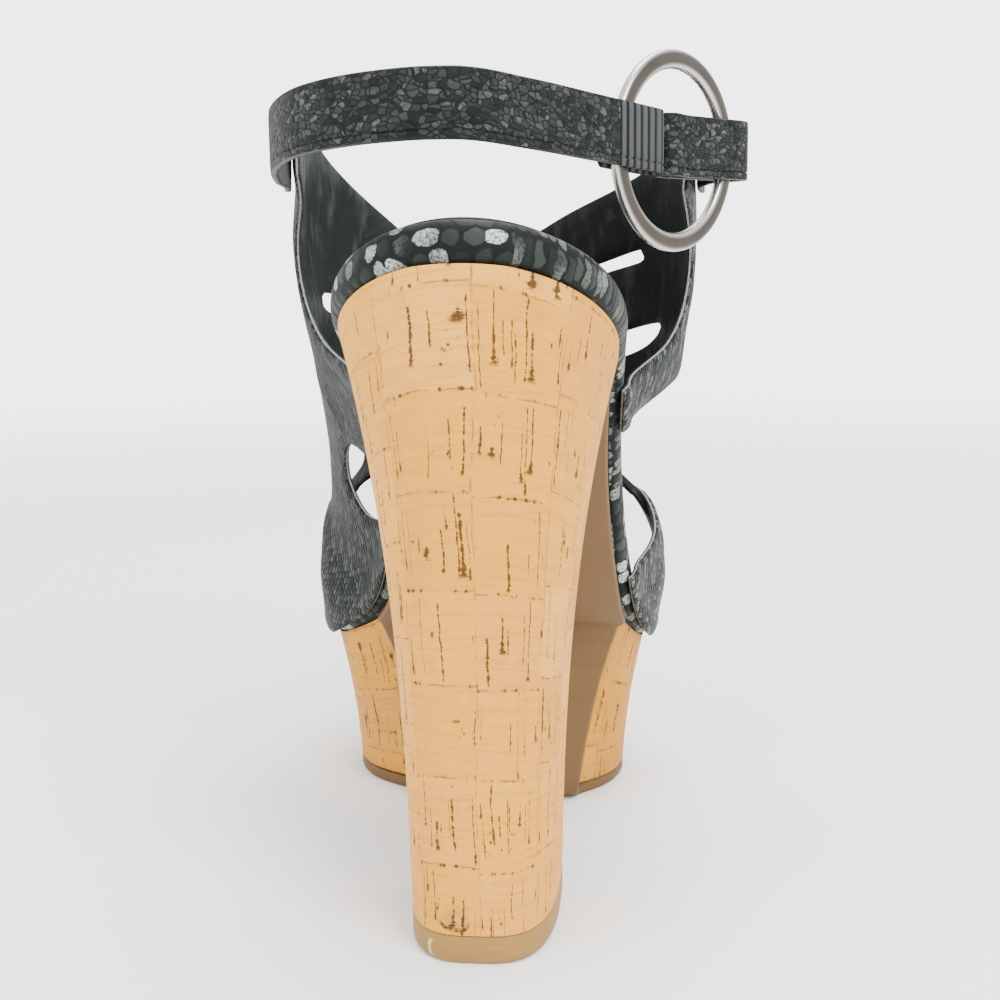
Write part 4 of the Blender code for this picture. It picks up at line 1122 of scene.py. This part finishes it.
def platform_rings(count, levels):
    """Rings of the cork platform, from under the footbed down to the outsole."""
    top = outline(PLATFORM_INSET, count, start=PLATFORM_START)
    bottom = outline(PLATFORM_INSET + PLATFORM_UNDERCUT, count, start=PLATFORM_START)
    high = place(top[:, 0], top[:, 1], -FOOTBED_THICKNESS - GAP)
    back_y = high[0, 1]
    toe_y = high[:, 1].max()
    spread = (TOE_Y - PLATFORM_TOE_TUCK - PLATFORM_BACK - PLATFORM_CORNER) / (toe_y - back_y)
    low_y = PLATFORM_BACK + PLATFORM_CORNER + (high[:, 1] - back_y) * spread
    low = np.stack([bottom[:, 0], low_y, tread_height(low_y) + GAP], axis=-1)
    corner = PLATFORM_CORNER
    bend = 1 - corner / (high[0, 2] - OUTSOLE_THICKNESS - GAP)
    fall, deep = PLATFORM_TOP_STEP
    near = PLATFORM_CORNER_STEP
    back_steps = [(0.0, back_y), (fall, back_y + deep * PLATFORM_HOLLOW)]
    back_steps += [(fall, PLATFORM_BACK + deep * PLATFORM_HOLLOW) for fall, deep in PLATFORM_HOLLOW_STEPS]
    back_steps += [
        (bend, PLATFORM_BACK), (1 - near * (1 - bend), PLATFORM_BACK + near * corner),
        (1.0, PLATFORM_BACK + corner),
    ]
    step_at, step_y = np.array(back_steps).T
    falls = np.unique(np.concatenate([np.linspace(0, 1, levels), step_at]))
    rings = []
    nearness = np.clip(1 - (top[:, 1] / LENGTH - PLATFORM_START) / PLATFORM_ROUND, 0, 1) ** 2.5
    middle = plan(PLATFORM_START * LENGTH)[0]
    for fall in falls:
        ring = high + (low - high) * fall
        ring[:, 1] += (np.interp(fall, step_at, step_y) - ring[0, 1]) * nearness
        pull = nearness * (PLATFORM_BACK_PULL[0] + PLATFORM_BACK_PULL[1] * fall)
        ring[:, 0] += (middle - ring[:, 0]) * pull
        ring[:, 0] -= PLATFORM_WAIST * sin(pi * fall) * np.sign(ring[:, 0] - middle)
        rings.append(ring)
    return rings


def build_platform(material):
    rings = platform_rings(PLATFORM_POINTS, 26)
    return ring_piece("platform_veneer", rings, False, material, "platform")


def build_outsole(material):
    """The tan sheet: tread, back of the platform and arch, ending at the heel's front."""
    rings = platform_rings(PLATFORM_POINTS, 18)
    inner_path = []
    breast = HEEL_DEPTH / 2 + 2 * GAP
    arch_s = np.linspace(HEEL_END * LENGTH, PLATFORM_START * LENGTH, 60)[:-1]
    centre, half = plan(arch_s)
    arch = place(0.0, arch_s, -FOOTBED_THICKNESS - GAP)
    for point, c, w in zip(arch, centre, half):
        if point[1] > breast + OUTSOLE_THICKNESS * sin(pi / 4):
            inner_path.append((point[1], point[2], c + w - OUTSOLE_INSET, c - w + OUTSOLE_INSET))
    for ring in rings[:-1]:
        inner_path.append((ring[0, 1] - GAP, ring[0, 2] - GAP, ring[0, 0] - FIT, ring[-1, 0] + FIT))
    low = rings[-1]
    for i in range(len(low) // 2):
        inner_path.append((low[i][1], low[i][2] - GAP, low[i][0], low[-1 - i][0]))
    path = np.array(inner_path)
    outer_path = path[:, :2] + right_of(path[:, :2]) * OUTSOLE_THICKNESS
    flat = (path[:, 1] < OUTSOLE_THICKNESS + GAP / 2) & (path[:, 0] < TOE_SPRING_START)
    outer_path[flat, 1] = 0.0
    outer_path[:, 1] = np.maximum(outer_path[:, 1], 0.0)
    stations = []
    for (y, z, right, left), (oy, oz) in zip(path, outer_path):
        into = np.array([y - oy, z - oz])
        into *= OUTSOLE_SOFT / max(np.hypot(*into), 1e-9)
        narrow = min(OUTSOLE_SOFT, abs(right - left) * 0.2)
        stations.append([
            (right - narrow, y, z), (right, y - into[0], z - into[1]),
            (right, oy + into[0], oz + into[1]), (right - narrow, oy, oz),
            (left + narrow, oy, oz), (left, oy + into[0], oz + into[1]),
            (left, y - into[0], z - into[1]), (left + narrow, y, z),
        ])
    return tube_piece("outsole_sheet", stations, [material], [0] * 8, "outsole", 50)


def heel_outline(inset):
    """A D seen from above: flat at the front, rounded at the back, as rows of (x, y)."""
    angle = np.linspace(0, pi, HEEL_POINTS)
    x = (HEEL_WIDTH / 2 - inset) * np.sign(np.cos(angle)) * np.abs(np.cos(angle)) ** HEEL_CORNER
    y = (HEEL_DEPTH - 2 * inset) * (0.5 - np.abs(np.sin(angle)) ** HEEL_CORNER)
    return np.stack([x, y], axis=-1)


def heel_rings(levels):
    """Rings of the heel block from the seat down to the top lift."""
    base = heel_outline(0.0)
    angle = np.linspace(0, pi, len(base))
    reach = HEEL_END * LENGTH
    seat_s = reach * (1 - np.sin(angle)) + HEEL_BACK_STEP * np.sin(angle)
    centre, half = plan(seat_s)
    side = np.sign(np.cos(angle))
    side[np.abs(np.cos(angle)) < 0.01] = 0.0
    widest = plan(HEEL_ROUND * LENGTH)[1] - HEEL_INSET
    seat_x = centre + side * np.minimum(half - HEEL_INSET, widest)
    middle = len(base) // 2
    own = np.arange(len(base), dtype=float)
    columns = np.unique(np.concatenate([own, middle + np.linspace(-1, 1, HEEL_BACK_COLUMNS)]))
    seat_x, seat_s = (np.interp(columns, own, values) for values in (seat_x, seat_s))
    base = np.stack([np.interp(columns, own, values) for values in base.T], axis=-1)
    at_back = np.abs(seat_x) < HEEL_BACK_ROUND[0]
    seat_s = np.where(at_back, HEEL_BACK_ROUND[1] + HEEL_BACK_ROUND[2] * seat_x**2, seat_s)
    seat = place(seat_x, seat_s, -FOOTBED_THICKNESS - GAP)
    foot = np.stack([base[:, 0], base[:, 1], np.full(len(base), TOP_LIFT_THICKNESS + GAP)], axis=-1)
    rings = []
    for rise in np.linspace(0, 1, levels):
        flare = HEEL_FLARE[0] * rise + (1 - HEEL_FLARE[0]) * rise ** HEEL_FLARE[1]
        lean = HEEL_LEAN[0] * rise + (1 - HEEL_LEAN[0]) * rise ** HEEL_LEAN[1]
        ring = foot + (seat - foot) * flare
        ring[:, 2] = foot[:, 2] + (seat[:, 2] - foot[:, 2]) * rise
        ring[:, 1] = foot[:, 1] + (seat[:, 1] - foot[:, 1]) * lean
        rings.append(ring)
    return rings


def mark_place(rings, x):
    """U of the point at the back of stacked heel rings that lies sideways at x."""
    foot = np.array(rings[0])
    aside = np.abs(foot[:, 0] - x) + HEEL_DEPTH * (foot[:, 1] > 0)
    return float(ring_uv(rings)[0][int(np.argmin(aside))])


def build_heel(material):
    return ring_piece("heel_veneer", heel_rings(HEEL_LEVELS), False, material, "heel")


def top_lift_rings():
    """Rings of the top lift, whose lower edge is a little worn."""
    return [np.insert(heel_outline(inset), 2, z, axis=1) for inset, z in TOP_LIFT_STEPS]


def build_top_lift(material):
    return ring_piece("top_lift", top_lift_rings(), False, material, "heel_top_lift")


def tube_piece(name, stations, materials, side_materials, stands_for, sharp=50):
    """A body swept through stations, with a material for each of its sides."""
    rings = np.array(stations, float)
    levels, count = len(rings), len(rings[0])
    faces, corners = stack_faces(levels, count)
    across, along = ring_uv(rings)
    uv = [[(along[level], across[i]) for level, i in face] for face in corners]
    kinds = [side_materials[face[0][1]] for face in corners]
    points = rings.reshape(-1, 3)
    for base in (0, (levels - 1) * count):
        faces.append(tuple(range(base, base + count)))
        uv.append([(points[i][0], points[i][1]) for i in range(base, base + count)])
        kinds.append(side_materials[0])
    return piece(name, points, faces, uv, materials, kinds, stands_for, sharp)


def strap_section(near_low, near_high, _, far_low):
    """Points round a strap's section from its corners: rounded edges, a groove above the lower."""
    up, thick = near_high - near_low, far_low - near_low
    depth = np.linalg.norm(thick)
    t, u = thick / depth, up / np.linalg.norm(up)
    half = depth / 2

    def edge(at, turns, inward):
        bow = inward * (half * EDGE_ROUND)
        return [at + t * (half + half * sin(turn)) + bow * (1 - cos(turn)) for turn in turns]

    rows = edge(near_low, EDGE_TURNS, u)
    rows += [near_low + up * share + t * (depth - dip) for share, dip in FACE_SHARES]
    rows += edge(near_high, EDGE_TURNS[::-1], -u)
    return rows + [near_low + up * share for share in BACK_SHARES]


def strap_height(y):
    """Height of the strap's middle line, which climbs towards the back of the heel."""
    share = y / BALL_WIDTH
    back = np.clip((RING_PLACE[1] - share) / (RING_PLACE[1] - STRAP_BACK), 0, 1)
    return STRAP_HEIGHT + STRAP_BACK_RISE * back


def upright_station(face, side, thickness):
    """Corners of an upright strap: its near face at a plan point, its far face to one side."""
    far = face + side * thickness
    z = strap_height(face[1])
    low, high = z - STRAP_WIDTH / 2, z + STRAP_WIDTH / 2
    return np.array([(*face, low), (*face, high), (*far, high), (*far, low)])


def ring_point(along, out):
    """Plan point beside the ring: along the strap's run forward, and out from the foot."""
    run = np.array([cos(RING_TURN), sin(RING_TURN)])
    face = np.array([sin(RING_TURN), -cos(RING_TURN)])
    return np.array(RING_PLACE) * BALL_WIDTH + along * run + out * face


def plan_curve(knots):
    """Points along a smooth curve through plan points, with the right-hand side at each."""
    path = chain([Vector(knot) for knot in knots], lambda b, c: PLAN_STEPS)
    path = np.array([(p.x, p.y) for p in path])
    return path, right_of(path)


def quarter_place(y, z, girth):
    """Distance and girth where the upper's outside has the given y and z, sought from girth."""
    s = UPPER_SPAN[0] * LENGTH
    for _ in range(SEEK_ROUNDS):
        tries = np.array([(s, girth), (s + 1, girth), (s, girth + SEEK_PROBE)]).T
        here, further, higher = last_surface(*tries, WALL + SEAT_GAP)[:, 1:]
        slopes = np.stack([further - here, (higher - here) / SEEK_PROBE], axis=1)
        s, girth = np.array([s, girth]) + np.linalg.solve(slopes, np.array([y, z]) - here)
    return s, girth


def quarter_stations(seat, girth, thickness):
    """Corners of an upright strap sewn on the outside of the upper, its inner face first."""
    stations = []
    for ahead, rise in seat:
        middle = strap_height(ahead) + rise
        ends = [quarter_place(ahead, middle + up * STRAP_WIDTH / 2, girth) for up in (-1, 1)]
        s, v = np.array(ends).T
        inner = last_surface(s, v, WALL + SEAT_GAP)
        outer = last_surface(s, v, WALL + SEAT_GAP + thickness)
        stations.append(np.array([inner[0], inner[1], outer[1], outer[0]]))
    return stations


def finer(stations, times):
    """More stations between the given ones, on a smooth curve through each corner."""
    return chain(np.array(stations), lambda b, c: times)


def rounded_end(stations):
    """Narrows the first stations of a strap, so that its sewn end is round."""
    for corners, share in zip(stations, SEWN_END):
        low, high = corners[[0, 3]], corners[[1, 2]]
        inward = (high - low) * (1 - share) / 2
        corners[[0, 3]] = low + inward
        corners[[1, 2]] = high - inward
    return stations


def build_ankle_strap(skin, edge, lining):
    """From the inner quarter round the back of the heel to the elastic."""
    stations = quarter_stations(INNER_STRAP_SEAT, INNER_SEAT_GIRTH, STRAP_THICKNESS)
    out = RING_THICKNESS / 2 + LOOP_ROOM + LOOP_THICKNESS - STRAP_THICKNESS
    end = RING_RADIUS + LOOP_BACK
    knots = [np.array(spot) * BALL_WIDTH for spot in ANKLE_PLAN]
    path, side = plan_curve(knots + [ring_point(-end - STRAP_LEAD, out), ring_point(-end, out)])
    stations += [upright_station(p, q, STRAP_THICKNESS) for p, q in zip(path, side)]
    rings = [strap_section(*corners) for corners in rounded_end(finer(stations, ANKLE_FINE))]
    return tube_piece("ankle_band", rings, [skin, edge, lining], STRAP_SIDES, "ankle_strap")


def build_elastic(material):
    """The ribbed elastic that folds round the back of the ring."""
    room = RING_THICKNESS / 2 + LOOP_ROOM
    under = room + LOOP_THICKNESS - STRAP_THICKNESS - GAP
    start = RING_RADIUS + LOOP_BACK - GAP
    bend = -LOOP_REACH - room
    half_way = (bend - start) / 2
    path = [(-start, room), (half_way, room), (bend, room)]
    for turn in FOLD_TURNS:
        path.append((bend + room * cos(turn), room * sin(turn)))
    path += [(bend, -room), (half_way, -room), (-start, -room)]
    path += [(-start - GORE_SLIP, under), (-start - GORE_TAIL, under)]
    points = np.array([ring_point(*step) for step in path])
    stations = [upright_station(p, q, LOOP_THICKNESS) for p, q in zip(points, right_of(points))]
    corners = finer(stations, LOOP_FINE)
    run = travelled([c.mean(axis=0) for c in corners])
    rings = []
    for (near_low, near_high, far_high, far_low), at in zip(corners, run):
        dip = RIB_DEPTH * (1 - abs(sin(pi * at / RIB_PITCH)) ** RIB_ROUND)
        tuck = TAIL_TUCK * np.clip((at - run[-1] + GORE_TAIL + 1.0) / 2.0, 0, 1) * (near_high - near_low)
        near_low, far_low = near_low + tuck, far_low + tuck
        thick = (far_low - near_low) / np.linalg.norm(far_low - near_low) * dip
        rings.append(strap_section(near_low + thick, near_high + thick, far_high - thick, far_low - thick))
    sides = [0] * len(STRAP_SIDES)
    return tube_piece("elastic_loop", rings, [material], sides, "elastic_gore", 80)


def build_closing_strap(skin, edge):
    """From the outer quarter through the ring, folded back outside itself."""
    seat = quarter_stations(OUTER_STRAP_SEAT, OUTER_SEAT_GIRTH, LOOP_THICKNESS)
    stations = [corners[[3, 2, 1, 0]] for corners in seat]
    room = RING_THICKNESS / 2 + LOOP_ROOM
    fold = LOOP_MEET - LOOP_REACH
    front = RING_RADIUS + LOOP_BACK
    knots = (
        stations[-1][:2, :2].mean(axis=0) + np.array(CLOSING_FIRST_STEP),
        np.array(CLOSING_BEND) * BALL_WIDTH,
        ring_point(front, -room),
        ring_point(front / 2, -room),
        ring_point(fold + room, -room),
    )
    path, side = plan_curve(knots)
    stations += [upright_station(p, q, LOOP_THICKNESS) for p, q in zip(path, side)]
    for turn in FOLD_TURNS:
        point = ring_point(fold + room - room * cos(turn), -room * sin(turn))
        outward = (point - ring_point(fold + room, 0.0)) / room
        stations.append(upright_station(point, outward, LOOP_THICKNESS))
    behind = travelled(path)
    ring_front = behind[2 * PLAN_STEPS]
    close = np.clip((ring_front - behind) / LOOP_CLOSING, 0, 1)
    apart = GAP + (2 * room - GAP) * (1 - close**2 * (3 - 2 * close))
    for i in range(len(path) - 1, 1, -1):
        stations.append(upright_station(path[i] - side[i] * apart[i], -side[i], LOOP_THICKNESS))
    rings = [strap_section(*corners) for corners in rounded_end(finer(stations, CLOSING_FINE))]
    return tube_piece("closing_band", rings, [skin, edge, skin], STRAP_SIDES, "closing_strap")


def build_ring(material):
    """The flat metal ring, with softly rounded edges."""
    rings = []
    for around in np.linspace(0, 2 * pi, RING_TURNS + 1):
        section = []
        for angle in np.linspace(0, 2 * pi, RING_POINTS, endpoint=False):
            radial = RING_RADIUS + RING_BAND / 2 * np.sign(cos(angle)) * abs(cos(angle)) ** RING_SQUARE
            out = RING_THICKNESS / 2 * np.sign(sin(angle)) * abs(sin(angle)) ** RING_SQUARE
            x, y = ring_point(radial * cos(around), out)
            section.append((x, y, STRAP_HEIGHT - RING_DROP + radial * sin(around)))
        rings.append(section)
    rings = np.array(rings)
    faces, corners = stack_faces(*rings.shape[:2])
    across, along = ring_uv(rings)
    uv = [[(along[level], across[i]) for level, i in face] for face in corners]
    kinds = [0] * len(faces)
    return piece("joining_ring", rings.reshape(-1, 3), faces, uv, [material], kinds, "ring")


def build_floor():
    """A plain pale floor under the shoe, which fades into the surround."""
    g = Graph("floor", roughness=0.6, specular=0.2)
    spot = g.node("ShaderNodeTexCoord", "Object")
    far = g.node("ShaderNodeVectorMath", "Value", {0: spot}, operation="LENGTH")
    g.feed(g.shader, {"Alpha": g.step(far, FLOOR_FADE[1], FLOOR_FADE[0])})
    material = g.finish(g.mix(g.noise(spot, 2.0, 2.0), (0.90, 0.90, 0.895), (0.92, 0.92, 0.915)))
    bpy.ops.mesh.primitive_plane_add(size=2.4 * FLOOR_FADE[1], location=(0, 0, -0.0002))
    plane = bpy.context.object
    plane.name = "floor"
    plane.data.materials.append(material)


def build_lights():
    """Soft studio light from above and both sides, and a white surround."""
    world = bpy.data.worlds.new("studio")
    bpy.context.scene.world = world
    world.use_nodes = True
    tree = world.node_tree
    back = tree.nodes["Background"]
    back.inputs["Color"].default_value = (1.0, 1.0, 1.0, 1.0)
    paths = tree.nodes.new("ShaderNodeLightPath")
    strength = tree.nodes.new("ShaderNodeMapRange")
    strength.inputs["To Min"].default_value, strength.inputs["To Max"].default_value = SURROUND
    tree.links.new(paths.outputs["Is Camera Ray"], strength.inputs["Value"])
    tree.links.new(strength.outputs["Result"], back.inputs["Strength"])
    for name, at, size, power in LAMPS:
        lamp = bpy.data.lights.new(name, "AREA")
        lamp.shape = "DISK"
        lamp.size = size
        lamp.energy = power
        item = bpy.data.objects.new(name, lamp)
        item.location = at
        item.rotation_mode = "QUATERNION"
        item.rotation_quaternion = (Vector(LAMP_AIM) - Vector(at)).to_track_quat("-Z", "Y")
        bpy.context.scene.collection.objects.link(item)


def build_camera():
    """Stands where the photograph's camera stood, turned to the shoe."""
    y, p, r = CAMERA_YAW, CAMERA_PITCH, CAMERA_ROLL
    ahead = Vector((sin(y) * cos(p), cos(y) * cos(p), -sin(p)))
    level = Vector((cos(y), -sin(y), 0.0))
    above = level.cross(ahead)
    right = level * cos(r) + above * sin(r)
    up = right.cross(ahead)
    aim = (ahead * PHOTO_FOCAL + right * AIM_RIGHT + up * AIM_UP).normalized()
    side = aim.cross(up).normalized()
    head = side.cross(aim)
    camera = bpy.data.cameras.new("camera")
    camera.sensor_width = SENSOR
    camera.lens = SENSOR * PHOTO_FOCAL / VIEW_WIDTH
    item = bpy.data.objects.new("camera", camera)
    turn = Matrix((side, head, -aim)).transposed().to_4x4()
    turn.translation = Vector(CAMERA_AT) * MM
    item.matrix_world = turn
    camera.clip_start = 0.01
    bpy.context.scene.collection.objects.link(item)
    bpy.context.scene.camera = item


def build():
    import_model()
    build_camera()
    build_lights()
    build_floor()
    rim_skin = snakeskin("rim_snakeskin", 4.2, 4.1, boxy=2.2, silver=0.40, shine=0.66, plates=(12.0, 118.0))
    upper_skin = snakeskin("upper_snakeskin", 2.5, 1.4, boxy=3.4, silver=0.62, shine=0.24, sides=(0.85, 0.30))
    strap_skin = snakeskin("strap_snakeskin", 1.9, 1.2, boxy=0, silver=0.50, shine=0.090)
    lining = lining_leather("lining_leather", painted_sheen=0.5, outer_shade_share=0.40)
    sock = lining_leather("sock_leather", painted_sheen=0.12)
    heel = heel_rings(HEEL_LEVELS)
    heel_cork = cork("heel_cork", 17.0, 19.0, dirt=(mark_place(heel, STAIN[0]), STAIN[1]))
    scuff = (mark_place(top_lift_rings(), SCUFF[0]), SCUFF[1])
    paint = edge_paint()
    build_upper(upper_skin, lining, cut_edge())
    build_footbed(rim_skin)
    build_insole(sock)
    # The platform's cork is the heel's cork painted darker, as painted shade
    build_platform(cork("platform_cork", 19.0, 16.0, painted_shade_by=0.77))
    # Painted shade: the outsole's tan is the top lift's tan made much darker
    build_outsole(tan_sole("tan_sole", (0.125, 0.068, 0.024), worn=0.2))
    build_heel(heel_cork)
    build_top_lift(tan_sole("tan_top_lift", (0.27, 0.152, 0.040), worn=0.4, scuff=scuff))
    build_ankle_strap(strap_skin, paint, sock)
    build_elastic(ribbed_elastic())
    build_closing_strap(strap_skin, paint)
    build_ring(satin_nickel())


build()
